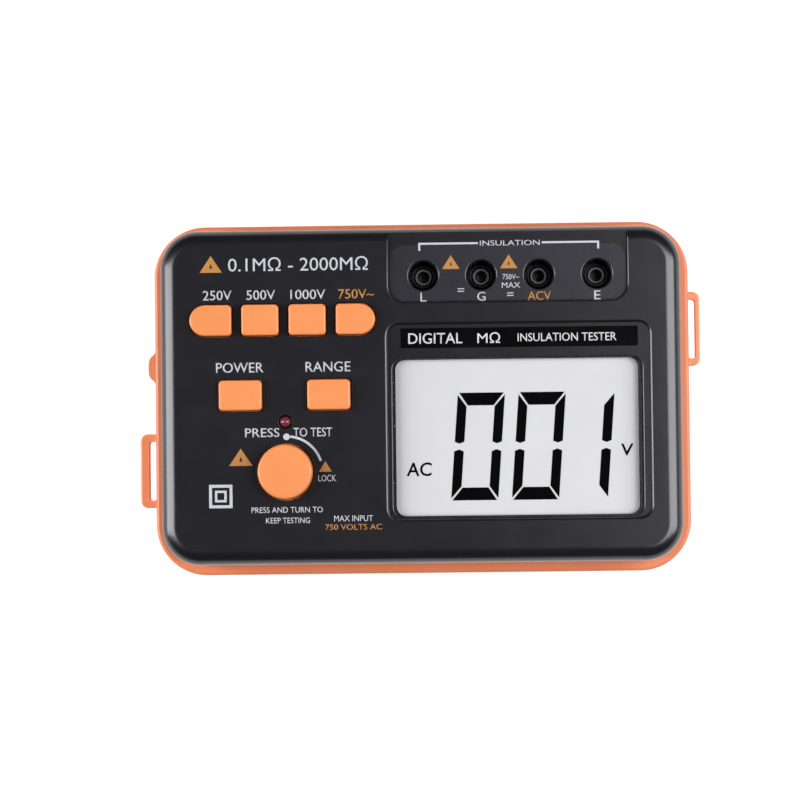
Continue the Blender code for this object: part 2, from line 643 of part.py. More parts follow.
def keys_and_switches(orange, black):
    stems = []
    for name, (x0, x1, left, right) in zip(SELECTOR_NAMES, selector_spans()):
        key("select_key_" + name, x0, x1, *SELECTOR_Y, left, right, orange)
        stems.append(((x0 + x1) / 2, sum(SELECTOR_Y) / 2))
    switch_body("selector_switch_bank", (-62.0, -13.0, 16.0, 26.0), stems, black)
    for name, centre in (("power", POWER_KEY), ("range", RANGE_KEY)):
        key(name + "_key", *latch_key_area(centre), 1.2, 1.2, orange)
        x, y = centre
        switch_body(name + "_switch", (x - 5, x + 5, y - 5, y + 5), [centre], black)


def test_control(orange, black, steel):
    """The knob and its spindle, the slider they turn in, the return spring and the switch."""
    x, y = KNOB
    profile = [(0, 58.7), (2.4, 58.7), (2.4, FLANGE_LOW_Z), (KNOB_FLANGE_R, FLANGE_LOW_Z),
               (KNOB_FLANGE_R, FLANGE_HIGH_Z), (KNOB_R, FLANGE_HIGH_Z), (KNOB_R, KNOB_TOP_Z - 0.8),
               (KNOB_R - 0.25, KNOB_TOP_Z - 0.25), (KNOB_R - 0.8, KNOB_TOP_Z), (0, KNOB_TOP_Z)]
    build_object("test_knob", turned(profile, 40, KNOB), orange, origin=(x, y, KNOB_TOP_Z))
    slider = [(0, 58.3), (2.7, 58.3), (2.7, SLIDER_TOP_Z), (SLIDER_R, SLIDER_TOP_Z), (SLIDER_R, 57.7),
              (2.0, 57.7), (2.0, 53.4), (0, 53.4)]
    build_object("test_slider", turned(slider, 20, KNOB), black, origin=(x, y, SLIDER_TOP_Z))
    body = build_object("test_switch", box(x - 7.5, x + 7.5, y - 7.5, y + 7.5, ON_BOARD_Z, 54.0), black)
    cut(body, disc(x, y, SLIDER_R + GAP, 51.0, 60), disc(x, y, 2.4, 49.2, 60, 14))
    spring = coil(3.6, 3.6, 51.65, 57.05, 3, 0.3)
    bmesh.ops.translate(spring, verts=spring.verts, vec=(x, y, 0))
    build_object("test_spring", spring, steel)


# ---- assembly -----------------------------------------------------------------------------


def main():
    for old in list(bpy.data.objects):
        bpy.data.objects.remove(old)

    case_black = material("case_black", (0.028, 0.028, 0.032), 0.42)
    case_orange = material("case_orange", (0.80, 0.20, 0.055), 0.45)
    key_orange = material("key_orange", (0.95, 0.30, 0.09), 0.45)
    plug_rubber = material("plug_rubber", (0.80, 0.19, 0.05), 0.7)
    foot_rubber = material("foot_rubber", (0.03, 0.03, 0.03), 0.8)
    socket_black = material("socket_black", (0.012, 0.012, 0.013), 0.3)
    brass = material("brass", (0.75, 0.55, 0.25), 0.3, 1.0)
    steel = material("screw_steel", (0.55, 0.55, 0.56), 0.35, 1.0)
    clear = material("window_clear", (0.9, 0.92, 0.92), 0.08, 0.0, 0.15)
    glass = material("lcd_glass", (0.72, 0.73, 0.73), 0.25)
    white = material("white_plastic", (0.8, 0.8, 0.78), 0.5)
    zebra = material("zebra_rubber", (0.35, 0.35, 0.36), 0.7)
    board = material("board_green", (0.03, 0.22, 0.09), 0.5)
    inner_black = material("inner_black", (0.02, 0.02, 0.02), 0.5)
    wrap = material("cell_wrap", (0.12, 0.14, 0.18), 0.35, 0.4)
    ferrite = material("ferrite", (0.06, 0.06, 0.065), 0.6)
    film_blue = material("capacitor_blue", (0.04, 0.10, 0.32), 0.4)
    lamp_red = material("lamp_red", (0.55, 0.02, 0.05), 0.2)
    wire_red = material("wire_red", (0.55, 0.03, 0.03), 0.5)

    upper_cover(case_black)
    terminal_panel(case_black)
    lower_case(case_orange)
    strap_lug("strap_lug_left", -1, LUG_LEFT_OUTER_X, LUG_LEFT_Y, case_orange)
    strap_lug("strap_lug_right", 1, LUG_RIGHT_OUTER_X, LUG_RIGHT_Y, case_orange)
    for i, (x, y) in enumerate(corners(CASE_SCREW_X, CASE_SCREW_Y), 1):
        pan_head_screw(f"case_screw_{i}", x, y, steel)
    for i, (x, y) in enumerate(corners(FOOT_X, FOOT_Y), 1):
        foot(f"foot_{i}", x, y, foot_rubber)
    adaptor_inlet(inner_black)
    inlet_plug(plug_rubber)

    battery_door(case_orange)
    flat_head_screw("door_screw_left", -DOOR_SCREW_X, 0, 10.0, steel)
    flat_head_screw("door_screw_right", DOOR_SCREW_X, 0, 10.0, steel)
    battery_tray(inner_black)
    number = 0
    for i, y in enumerate(CELL_LINES_Y):
        for x in (-CELL_LENGTH - GAP, 0.0):
            number += 1
            cell(f"cell_{number}", x, y, 1 if i % 2 == 0 else -1, wrap)
    contact_strip("contact_strip_left", -1, steel)
    contact_strip("contact_strip_right", 1, steel)
    battery_lead(wire_red)

    main_board(board)
    under_board_parts(ferrite, inner_black, film_blue)
    display(clear, glass, white, zebra)
    for name, x in zip(SOCKET_NAMES, SOCKET_X):
        socket(name, x, socket_black, brass)
    indicator_lamp(lamp_red)
    keys_and_switches(key_orange, inner_black)
    test_control(key_orange, inner_black, steel)

    for made in bpy.data.objects:
        made.data.transform(Matrix.Scale(METRES, 4))
        made.location *= METRES


main()
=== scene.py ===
"""The looks of the insulation resistance tester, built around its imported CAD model.

Shapes are made in millimetres in the CAD model's frame (X across the face, Y up the face, Z out of
the face) and scaled to metres when each piece is finished. Places come from the CAD nodes' boxes.
"""

import json
import math

import bmesh
import bpy
from mathutils import Matrix, Vector
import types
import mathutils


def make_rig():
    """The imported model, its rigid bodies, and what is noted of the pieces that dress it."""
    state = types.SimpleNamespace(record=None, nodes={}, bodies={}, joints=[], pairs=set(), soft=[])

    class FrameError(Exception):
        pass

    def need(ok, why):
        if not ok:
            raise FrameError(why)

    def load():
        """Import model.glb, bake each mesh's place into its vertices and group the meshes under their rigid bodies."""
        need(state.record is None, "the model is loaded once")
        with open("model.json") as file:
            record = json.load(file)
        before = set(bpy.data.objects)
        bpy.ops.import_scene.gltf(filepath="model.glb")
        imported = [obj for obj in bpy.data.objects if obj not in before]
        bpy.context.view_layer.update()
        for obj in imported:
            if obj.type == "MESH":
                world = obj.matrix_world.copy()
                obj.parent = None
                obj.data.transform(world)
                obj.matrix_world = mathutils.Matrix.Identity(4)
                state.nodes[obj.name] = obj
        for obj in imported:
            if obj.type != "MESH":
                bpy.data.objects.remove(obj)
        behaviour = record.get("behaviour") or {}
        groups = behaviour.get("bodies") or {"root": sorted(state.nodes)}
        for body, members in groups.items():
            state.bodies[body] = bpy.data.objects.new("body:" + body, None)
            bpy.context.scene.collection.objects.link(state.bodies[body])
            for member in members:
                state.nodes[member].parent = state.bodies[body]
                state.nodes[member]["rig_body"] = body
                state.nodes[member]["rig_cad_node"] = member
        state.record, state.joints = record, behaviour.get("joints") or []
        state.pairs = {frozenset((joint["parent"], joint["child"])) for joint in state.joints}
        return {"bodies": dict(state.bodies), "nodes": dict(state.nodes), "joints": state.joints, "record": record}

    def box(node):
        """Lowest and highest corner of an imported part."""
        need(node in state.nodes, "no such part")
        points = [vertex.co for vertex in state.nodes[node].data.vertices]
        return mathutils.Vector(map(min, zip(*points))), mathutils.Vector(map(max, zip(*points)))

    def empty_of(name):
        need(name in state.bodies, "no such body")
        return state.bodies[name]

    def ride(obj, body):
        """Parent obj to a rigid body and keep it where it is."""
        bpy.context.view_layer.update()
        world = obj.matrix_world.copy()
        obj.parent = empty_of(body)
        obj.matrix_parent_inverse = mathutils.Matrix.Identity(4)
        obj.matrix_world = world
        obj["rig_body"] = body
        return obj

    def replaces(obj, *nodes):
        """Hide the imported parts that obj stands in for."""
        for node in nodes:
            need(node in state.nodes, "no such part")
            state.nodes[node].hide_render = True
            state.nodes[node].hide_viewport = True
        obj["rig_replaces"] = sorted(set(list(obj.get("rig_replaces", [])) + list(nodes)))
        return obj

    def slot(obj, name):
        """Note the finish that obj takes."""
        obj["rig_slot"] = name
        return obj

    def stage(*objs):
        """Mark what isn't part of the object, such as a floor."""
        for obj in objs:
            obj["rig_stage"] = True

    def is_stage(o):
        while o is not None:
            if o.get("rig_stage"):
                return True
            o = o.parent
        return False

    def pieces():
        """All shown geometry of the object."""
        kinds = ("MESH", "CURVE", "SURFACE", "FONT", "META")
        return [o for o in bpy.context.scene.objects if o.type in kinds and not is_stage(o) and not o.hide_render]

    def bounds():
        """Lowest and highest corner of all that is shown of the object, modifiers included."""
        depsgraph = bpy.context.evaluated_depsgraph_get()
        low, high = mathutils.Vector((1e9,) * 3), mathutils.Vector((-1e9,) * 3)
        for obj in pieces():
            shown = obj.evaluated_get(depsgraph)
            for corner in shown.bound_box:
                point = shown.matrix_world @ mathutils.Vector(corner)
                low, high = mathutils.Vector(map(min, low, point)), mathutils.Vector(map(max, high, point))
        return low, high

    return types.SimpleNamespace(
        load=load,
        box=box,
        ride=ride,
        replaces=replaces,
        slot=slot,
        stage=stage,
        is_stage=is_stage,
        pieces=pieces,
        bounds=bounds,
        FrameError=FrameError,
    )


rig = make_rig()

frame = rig.load()
cad_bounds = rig.bounds()

METRES = 0.001
WELD = 0.002  # vertices this near each other are one
GAP = 0.3  # clearance that the CAD model keeps between neighbours
TOP = 5.0  # how far a cutter stands out past the face


class Area:
    """The box of a CAD node at rest, in millimetres."""

    def __init__(self, node):
        low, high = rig.box(node)
        self.x0, self.y0, self.z0 = (v / METRES for v in low)
        self.x1, self.y1, self.z1 = (v / METRES for v in high)
        self.x = (self.x0 + self.x1) / 2
        self.y = (self.y0 + self.y1) / 2
        self.z = (self.z0 + self.z1) / 2

    def plan(self, out=0.0):
        """(x0, x1, y0, y1), with each side moved out."""
        return (self.x0 - out, self.x1 + out, self.y0 - out, self.y1 + out)


COVER = Area("upper_cover")
CASE = Area("lower_case")
WINDOW = Area("lcd_window")
GLASS = Area("lcd_glass")
KNOB = Area("test_knob")
LAMP = Area("test_lamp")
SOCKET_NAMES = ("line", "guard", "volts", "earth")
SOCKETS = [Area("socket_sleeve_" + name) for name in SOCKET_NAMES]
PANEL = Area("terminal_panel")
SELECTOR_NAMES = ("250", "500", "1000", "ac")
FACE_Z = COVER.z1
FACE_FILLET = 4.2
FACE_SKIN = 2.4
ROOF_Z = FACE_Z - FACE_SKIN  # the inner side of the face
BASE_Z = CASE.z1 + GAP  # where the cover's wall stands on the case
BELOW_FACE_Z = FACE_Z - 8.0  # how deep a hole through the face is cut

KEY_FLANGE = 0.8  # how far a key's flange stands out round its cap
FLANGE_HIGH_Z = ROOF_Z - GAP  # keys and knob are held in by a flange under the roof
FLANGE_LOW_Z = FLANGE_HIGH_Z - 1.4
KEY_CLEARANCE = 0.35

# The bezel is the shallow recess round the window, with room for the label above it. The other
# recess holds the sockets, and its cutter runs out through the upper edge of the face.
BEZEL = (WINDOW.x0 - 1.4, WINDOW.x1 + 2.1, WINDOW.y0 - 0.5, WINDOW.y1 + 9.5)
BEZEL_FLOOR_Z = FACE_Z - 0.9
RECESS = (SOCKETS[0].x - 9.6, SOCKETS[-1].x + 8.25, SOCKETS[0].y - 7.35, COVER.y1 + 10)
SOCKET_HOLE_R = 4.1

CASE_CORNER = 14.3
SCREW_HOLE_R = 1.75
BATTERY_HOLE = (56.2, 30.4)  # half the width and height of the opening behind the battery door


# ---- shapes -------------------------------------------------------------------------------


def outline(x0, x1, y0, y1, left, right, steps=8):
    """Points round a rectangle whose left and right corners have their own radii."""
    corners = ((x1, y1, right, 0), (x0, y1, left, 90), (x0, y0, left, 180), (x1, y0, right, 270))
    points = []
    for x, y, radius, start in corners:
        centre_x = x - math.copysign(radius, x - (x0 + x1) / 2)
        centre_y = y - math.copysign(radius, y - (y0 + y1) / 2)
        for step in range(steps + 1):
            angle = math.radians(start + 90 * step / steps)
            points.append((centre_x + radius * math.cos(angle), centre_y + radius * math.sin(angle)))
    return points


def rounded(area, radius, out=0.0, steps=8):
    """An area's outline, moved out with its corners kept concentric."""
    x0, x1, y0, y1 = area
    return outline(x0 - out, x1 + out, y0 - out, y1 + out, radius + out, radius + out, steps)


def at(points, z):
    """A flat outline's points at one height."""
    return [(x, y, z) for x, y in points]


def stack(rings):
    """A skin through rings that have the same number of points, capped at both ends."""
    mesh = bmesh.new()
    loops = [[mesh.verts.new(point) for point in points] for points in rings]
    for low, high in zip(loops, loops[1:]):
        for i in range(len(low)):
            j = (i + 1) % len(low)
            mesh.faces.new((low[i], low[j], high[j], high[i]))
    mesh.faces.new(loops[0])
    mesh.faces.new(loops[-1])
    bmesh.ops.recalc_face_normals(mesh, faces=mesh.faces)
    return mesh


def prism(points, z0, z1):
    return stack([at(points, z0), at(points, z1)])


def box(x0, x1, y0, y1, z0, z1):
    return prism([(x0, y0), (x1, y0), (x1, y1), (x0, y1)], z0, z1)


def quarter(steps=4):
    """(share inwards, share upwards) along a quarter round, from its side to its top."""
    angles = [math.radians(90 * i / steps) for i in range(steps + 1)]
    return [(1 - math.cos(a), math.sin(a)) for a in angles]


def pad(shape, z0, z1, edge, low_edge=0.0, steps=4):
    """A solid with rounded edges. shape(out) gives its outline moved out by that much."""
    rings = []
    if low_edge:
        rings += [at(shape(-low_edge * a), z0 + low_edge * (1 - b)) for a, b in reversed(quarter(steps))]
    else:
        rings.append(at(shape(0), z0))
    rings += [at(shape(-edge * a), z1 - edge * (1 - b)) for a, b in quarter(steps)]
    return stack(rings)


def flared(shape, z0, face_z, edge, steps=4):
    """A cutter for a hole whose edge is rounded where it meets the face."""
    rings = [at(shape(0), z0)]
    rings += [at(shape(edge * a), face_z + 0.01 - edge * (1 - b)) for a, b in quarter(steps)]
    rings.append(at(shape(edge), face_z + TOP))
    return stack(rings)


def circle(x, y, radius, segments=48):
    def shape(out=0.0):
        angles = [2 * math.pi * i / segments for i in range(segments)]
        return [(x + (radius + out) * math.cos(a), y + (radius + out) * math.sin(a)) for a in angles]
    return shape


def disc(x, y, radius, z0, z1, segments=48):
    return prism(circle(x, y, radius, segments)(), z0, z1)


def turned(profile, segments, centre=(0.0, 0.0), closed=False):
    """A profile of (radius, z) turned about a vertical axis. A closed profile makes a ring."""
    mesh = bmesh.new()
    loops = []
    for radius, z in profile:
        count = 1 if radius == 0 else segments
        angles = [2 * math.pi * i / segments for i in range(count)]
        loops.append([
            mesh.verts.new((centre[0] + radius * math.cos(a), centre[1] + radius * math.sin(a), z))
            for a in angles
        ])
    if closed:
        loops.append(loops[0])
    for low, high in zip(loops, loops[1:]):
        for i in range(segments):
            j = (i + 1) % segments
            corners = [low[i % len(low)], low[j % len(low)], high[j % len(high)], high[i % len(high)]]
            mesh.faces.new(list(dict.fromkeys(corners)))
    bmesh.ops.recalc_face_normals(mesh, faces=mesh.faces)
    return mesh


def bend(centre, radius, start, end, steps=5):
    """Points of an arc in a turned profile, between two angles in degrees."""
    angles = [math.radians(start + (end - start) * i / steps) for i in range(steps + 1)]
    return [(centre[0] + radius * math.cos(a), centre[1] + radius * math.sin(a)) for a in angles]


def laid_along_x(mesh, x, y, z):
    """Turns a shape built along Z so that its Z axis points along +X, and moves it to (x, y, z)."""
    turn = Matrix.Translation((x, y, z)) @ Matrix.Rotation(math.radians(90), 4, "Y")
    bmesh.ops.transform(mesh, matrix=turn, verts=mesh.verts)
    return mesh


def merged(shapes):
    """One shape that holds several that don't touch."""
    whole = bmesh.new()
    for shape in shapes:
        data = bpy.data.meshes.new("part")
        shape.to_mesh(data)
        shape.free()
        whole.from_mesh(data)
        bpy.data.meshes.remove(data)
    return whole


# ---- pieces -------------------------------------------------------------------------------


def loose(name, mesh):
    """An object made from a shape in millimetres."""
    data = bpy.data.meshes.new(name)
    mesh.to_mesh(data)
    mesh.free()
    made = bpy.data.objects.new(name, data)
    bpy.context.scene.collection.objects.link(made)
    return made


def combine(target, operation, shapes):
    """Joins shapes to the target, or cuts them from it, one Boolean at a time."""
    for shape in shapes:
        tool = loose("tool", shape)
        modifier = target.modifiers.new("combine", "BOOLEAN")
        modifier.operation = operation
        modifier.object = tool
        graph = bpy.context.evaluated_depsgraph_get()
        result = bmesh.new()
        result.from_mesh(target.evaluated_get(graph).data)
        bmesh.ops.remove_doubles(result, verts=result.verts, dist=WELD)
        target.modifiers.clear()
        result.to_mesh(target.data)
        result.free()
        bpy.data.objects.remove(tool)
    return target


def join(target, *shapes):
    return combine(target, "UNION", shapes)


def cut(target, *shapes):
    return combine(target, "DIFFERENCE", shapes)


def finish(made, material, body="casing", replaced=(), record_slot=None, smooth=True):
    """Scales a piece to metres, smooths it, gives it its material and sets it on its body."""
    made.data.transform(Matrix.Scale(METRES, 4))
    made.data.materials.clear()
    made.data.materials.append(material)
    if smooth:
        made.data.shade_smooth()
        made.data.set_sharp_from_angle(angle=math.radians(34))
        normals = made.modifiers.new("normals", "WEIGHTED_NORMAL")
        normals.keep_sharp = True
        normals.weight = 80
    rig.ride(made, body)
    if replaced:
        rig.replaces(made, *replaced)
    if record_slot:
        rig.slot(made, record_slot)


# ---- materials ----------------------------------------------------------------------------


class Nodes:
    """A small helper that adds and links shader nodes in one material."""

    def __init__(self, name):
        self.material = bpy.data.materials.new(name)
        self.material.use_nodes = True
        self.tree = self.material.node_tree
        self.shader = self.tree.nodes["Principled BSDF"]
        self.place = self.add("ShaderNodeTexCoord").outputs["Object"]

    def add(self, kind, **inputs):
        node = self.tree.nodes.new(kind)
        for name, value in inputs.items():
            self.put(node, name.replace("_", " "), value)
        return node

    def put(self, node, name, value):
        if isinstance(value, bpy.types.NodeSocket):
            self.tree.links.new(value, node.inputs[name])
        else:
            node.inputs[name].default_value = value

    def set(self, **inputs):
        for name, value in inputs.items():
            self.put(self.shader, name.replace("_", " "), value)

    def noise(self, size_mm, detail=2.0, roughness=0.5):
        """A noise of that feature size: its value, from 0 to 1."""
        node = self.add("ShaderNodeTexNoise", Vector=self.place, Scale=1 / (size_mm * METRES),
                        Detail=detail, Roughness=roughness)
        return node.outputs["Fac"]

    def between(self, value, low, high, from_low=0.3, from_high=0.7):
        """A value spread from one range to another."""
        node = self.tree.nodes.new("ShaderNodeMapRange")
        self.put(node, "Value", value)
        node.inputs["From Min"].default_value = from_low
        node.inputs["From Max"].default_value = from_high
        node.inputs["To Min"].default_value = low
        node.inputs["To Max"].default_value = high
        return node.outputs["Result"]

    def blend(self, value, low, high):
        """A colour between two, by a value from 0 to 1."""
        node = self.tree.nodes.new("ShaderNodeMix")
        node.data_type = "RGBA"
        self.tree.links.new(value, node.inputs["Factor"])
        for socket, colour in (("A", low), ("B", high)):
            target = [s for s in node.inputs if s.name == socket and s.type == "RGBA"][0]
            if isinstance(colour, bpy.types.NodeSocket):
                self.tree.links.new(colour, target)
            else:
                target.default_value = (*colour, 1.0)
        return [s for s in node.outputs if s.type == "RGBA"][0]

    def bump(self, height, depth_mm):
        """A normal that makes a value from 0 to 1 look like a height."""
        node = self.tree.nodes.new("ShaderNodeBump")
        node.inputs["Distance"].default_value = depth_mm * METRES
        self.tree.links.new(height, node.inputs["Height"])
        return node.outputs["Normal"]


def shade(colour, factor):
    return tuple(min(1.0, c * factor) for c in colour)


def moulded(name, colour, roughness, grain_mm=0.35, grain_depth=0.012, spread=0.06, edge=1.0,
            gloss=0.5, uneven=0.045):
    """Moulded plastic: a spark-eroded grain, slow colour drift, and a painted highlight that makes sharp edges
    lighter.
    """
    n = Nodes(name)
    n.set(Specular_IOR_Level=gloss)
    drift = n.noise(22.0, detail=3.0)
    base = n.blend(n.between(drift, 0.0, 1.0), shade(colour, 1 - spread), shade(colour, 1 + spread))
    # Painted highlight: where the edge factor is set, sharp edges (high pointiness) are made that much lighter.
    if edge != 1.0:
        geometry = n.add("ShaderNodeNewGeometry")
        painted_edge_highlight = n.between(geometry.outputs["Pointiness"], 0.0, 1.0, 0.52, 0.60)
        base = n.blend(painted_edge_highlight, base, shade(colour, edge))
    grain = n.noise(grain_mm, detail=2.0, roughness=0.6)
    handled = n.noise(9.0, detail=4.0, roughness=0.6)
    n.set(Base_Color=base, Roughness=n.between(handled, roughness - uneven, roughness + uneven),
          Normal=n.bump(grain, grain_depth))
    return n.material


def ink(name, colour, roughness=0.5):
    """Pad-printed ink: slightly uneven cover over the grain."""
    n = Nodes(name)
    patchy = n.noise(0.6, detail=3.0)
    n.set(Base_Color=n.blend(n.between(patchy, 0.0, 1.0), shade(colour, 0.88), colour),
          Roughness=n.between(n.noise(1.5), roughness - 0.05, roughness + 0.05),
          Normal=n.bump(n.noise(0.35), 0.006))
    return n.material


def rubber(name, colour):
    n = Nodes(name)
    drift = n.noise(6.0, detail=3.0)
    n.set(Base_Color=n.blend(n.between(drift, 0.0, 1.0), shade(colour, 0.9), shade(colour, 1.08)),
          Roughness=n.between(n.noise(3.0, detail=4.0), 0.55, 0.75),
          Normal=n.bump(n.noise(0.25, detail=3.0), 0.02))
    return n.material


def metal(name, colour, roughness):
    """Plated metal with fine turned or rolled lines and slight tarnish."""
    n = Nodes(name)
    tarnish = n.noise(4.0, detail=5.0, roughness=0.65)
    stretched = n.add("ShaderNodeMapping", Vector=n.place)
    stretched.inputs["Scale"].default_value = (1.0, 1.0, 12.0)
    lines = n.add("ShaderNodeTexNoise", Vector=stretched.outputs["Vector"], Scale=700.0, Detail=3.0)
    n.set(Base_Color=n.blend(n.between(tarnish, 0.0, 1.0), shade(colour, 0.8), colour), Metallic=1.0,
          Roughness=n.between(tarnish, roughness, roughness + 0.18),
          Normal=n.bump(lines.outputs["Fac"], 0.01))
    return n.material


def clear_window():
    """Clear acrylic, polished, with faint wiping haze."""
    n = Nodes("window_acrylic")
    n.set(Base_Color=(0.02, 0.02, 0.02, 1.0), Alpha=0.04, IOR=1.49,
          Roughness=n.between(n.noise(8.0, detail=4.0), 0.03, 0.10))
    return n.material


def display_sheet():
    """The pale polarizer over the display's reflector, with its very fine sparkle."""
    n = Nodes("display_polarizer")
    cloud = n.noise(14.0, detail=3.0)
    n.set(Base_Color=n.blend(n.between(cloud, 0.0, 1.0), (0.515, 0.515, 0.505), (0.53, 0.53, 0.52)),
          Roughness=0.55, Normal=n.bump(n.noise(0.15), 0.004))
    return n.material


def segment_black():
    n = Nodes("display_segment")
    n.set(Base_Color=n.blend(n.noise(0.4), (0.0004, 0.0004, 0.0004), (0.0008, 0.0008, 0.0008)),
          Roughness=0.8, Specular_IOR_Level=0.0)
    return n.material


def lamp_epoxy():
    """Red tinted epoxy of the indicator lamp."""
    n = Nodes("lamp_epoxy")
    n.set(Base_Color=n.blend(n.noise(1.0), (0.11, 0.018, 0.027), (0.135, 0.022, 0.033)), Roughness=0.18,
          Subsurface_Weight=0.4, Subsurface_Radius=(0.002, 0.0004, 0.0004), Subsurface_Scale=0.6,
          Normal=n.bump(n.noise(0.8), 0.004))
    return n.material


def circuit_board():
    """Solder mask over copper: raised tracks show through the green."""
    n = Nodes("circuit_board")
    tracks = n.add("ShaderNodeTexVoronoi", Vector=n.place, Scale=260.0)
    tracks.distance = "CHEBYCHEV"
    copper = n.between(tracks.outputs["Distance"], 0.0, 1.0, 0.28, 0.36)
    n.set(Base_Color=n.blend(copper, (0.015, 0.12, 0.045), (0.03, 0.24, 0.09)), Roughness=0.35,
          Normal=n.bump(copper, 0.03))
    return n.material


def cell_wrap(first_end, second_end):
    """A plain dark battery wrap with bare metal at both ends of the cell, along X."""
    n = Nodes("cell_wrap")
    axes = n.add("ShaderNodeSeparateXYZ", Vector=n.place)
    middle, half = (first_end + second_end) / 2, (second_end - first_end) / 2
    centred = n.add("ShaderNodeMath")
    centred.operation = "SUBTRACT"
    n.put(centred, "Value", axes.outputs["X"])
    centred.inputs[1].default_value = middle * METRES
    reach = n.add("ShaderNodeMath")
    reach.operation = "ABSOLUTE"
    n.put(reach, "Value", centred.outputs[0])
    bare = n.between(reach.outputs[0], 0.0, 1.0, (half - 1.3) * METRES, (half - 1.2) * METRES)
    band = n.between(axes.outputs["X"], 0.0, 1.0, (middle + 9) * METRES, (middle + 9.1) * METRES)
    wrap = n.blend(band, (0.035, 0.04, 0.05), (0.55, 0.33, 0.10))
    n.set(Base_Color=n.blend(bare, wrap, (0.6, 0.6, 0.6)), Metallic=bare, Roughness=0.32,
          Normal=n.bump(n.noise(3.0), 0.01))
    return n.material


BLACK = (0.0052, 0.0047, 0.0066)
ORANGE = (0.64, 0.178, 0.070)
KEY_ORANGE = (0.59, 0.191, 0.053)

cover_plastic = moulded("cover_plastic", BLACK, 0.255, grain_mm=0.25, grain_depth=0.004, gloss=0.6,
                        uneven=0.012)
panel_plastic = moulded("panel_plastic", shade(BLACK, 2.4), 0.275, grain_mm=0.25, grain_depth=0.004,
                        gloss=0.6, uneven=0.012)
# The edge factors below paint highlights on the sharp edges of the case, the lugs and the keys.
case_plastic = moulded("case_plastic", ORANGE, 0.42, grain_depth=0.012, spread=0.04, edge=1.15)
# Painted light: the case orange made 1.4 times lighter, so the strap loops look more brightly lit than the rim.
lug_plastic_painted_light = moulded("lug_plastic_painted_light", shade(ORANGE, 1.4), 0.42, grain_depth=0.012, spread=0.04, edge=1.1)
key_plastic = moulded("key_plastic", KEY_ORANGE, 0.40, grain_mm=0.3, grain_depth=0.006, spread=0.02,
                      edge=1.2)
shroud_plastic = moulded("shroud_plastic", (0.006, 0.006, 0.007), 0.26, grain_depth=0.004)
hidden_plastic = moulded("hidden_plastic", (0.02, 0.02, 0.022), 0.45)
white_plastic = moulded("white_plastic", (0.78, 0.78, 0.75), 0.45, spread=0.02)
label_film = moulded("label_film", (0.0010, 0.0010, 0.0010), 0.18, grain_mm=0.5, grain_depth=0.002,
                     gloss=0.2)
plug_rubber = rubber("plug_rubber", (0.46, 0.115, 0.022))
foot_rubber = rubber("foot_rubber", (0.025, 0.025, 0.026))
zebra_rubber = rubber("zebra_rubber", (0.3, 0.3, 0.31))
wire_sleeving = rubber("wire_sleeving", (0.5, 0.02, 0.02))
steel = metal("plated_steel", (0.62, 0.62, 0.63), 0.28)
# Painted shade: the brass is made very dark so that the contacts deep in the socket holes look shaded.
brass = metal("plated_brass_painted_shade", (0.14, 0.136, 0.128), 0.44)
ferrite = moulded("ferrite_core", (0.05, 0.05, 0.055), 0.55, grain_mm=0.6, grain_depth=0.05)
lacquer = moulded("capacitor_lacquer", (0.03, 0.09, 0.32), 0.25, grain_mm=2.0)
white_ink = ink("white_ink", (0.40, 0.41, 0.43))
label_ink = ink("label_ink", (0.50, 0.50, 0.52))
orange_ink = ink("orange_ink", (0.36, 0.150, 0.022))


# ---- casing -------------------------------------------------------------------------------


def key_shape(name, round_left=False, round_right=False):
    """The cap outline of a key, as a function of how far it is moved out."""
    key = Area(name)
    x0, x1, y0, y1 = key.plan(-KEY_FLANGE)
    round_end, corner = (y1 - y0) / 2, 1.0
    left = round_end if round_left else corner
    right = round_end if round_right else corner

    def shape(out=0.0):
        steps = 12
        return outline(x0 - out, x1 + out, y0 - out, y1 + out, left + out, right + out, steps)
    return shape


def key_shapes():
    """Each key's node and its outline."""
    shapes = {}
    for i, name in enumerate(SELECTOR_NAMES):
        node = "select_key_" + name
        shapes[node] = key_shape(node, i == 0, i == len(SELECTOR_NAMES) - 1)
    for node in ("power_key", "range_key"):
        shapes[node] = key_shape(node)
    return shapes


KEYS = key_shapes()


def centred(half_x, half_y, radius, z, steps=18):
    """A rounded rectangle about the middle of the face, at one height."""
    return at(outline(-half_x, half_x, -half_y, half_y, radius, radius, steps), z)


def inset(ring, by):
    """A ring's half width, half height and corner radius, all made smaller by one amount."""
    return tuple(value - by for value in ring)


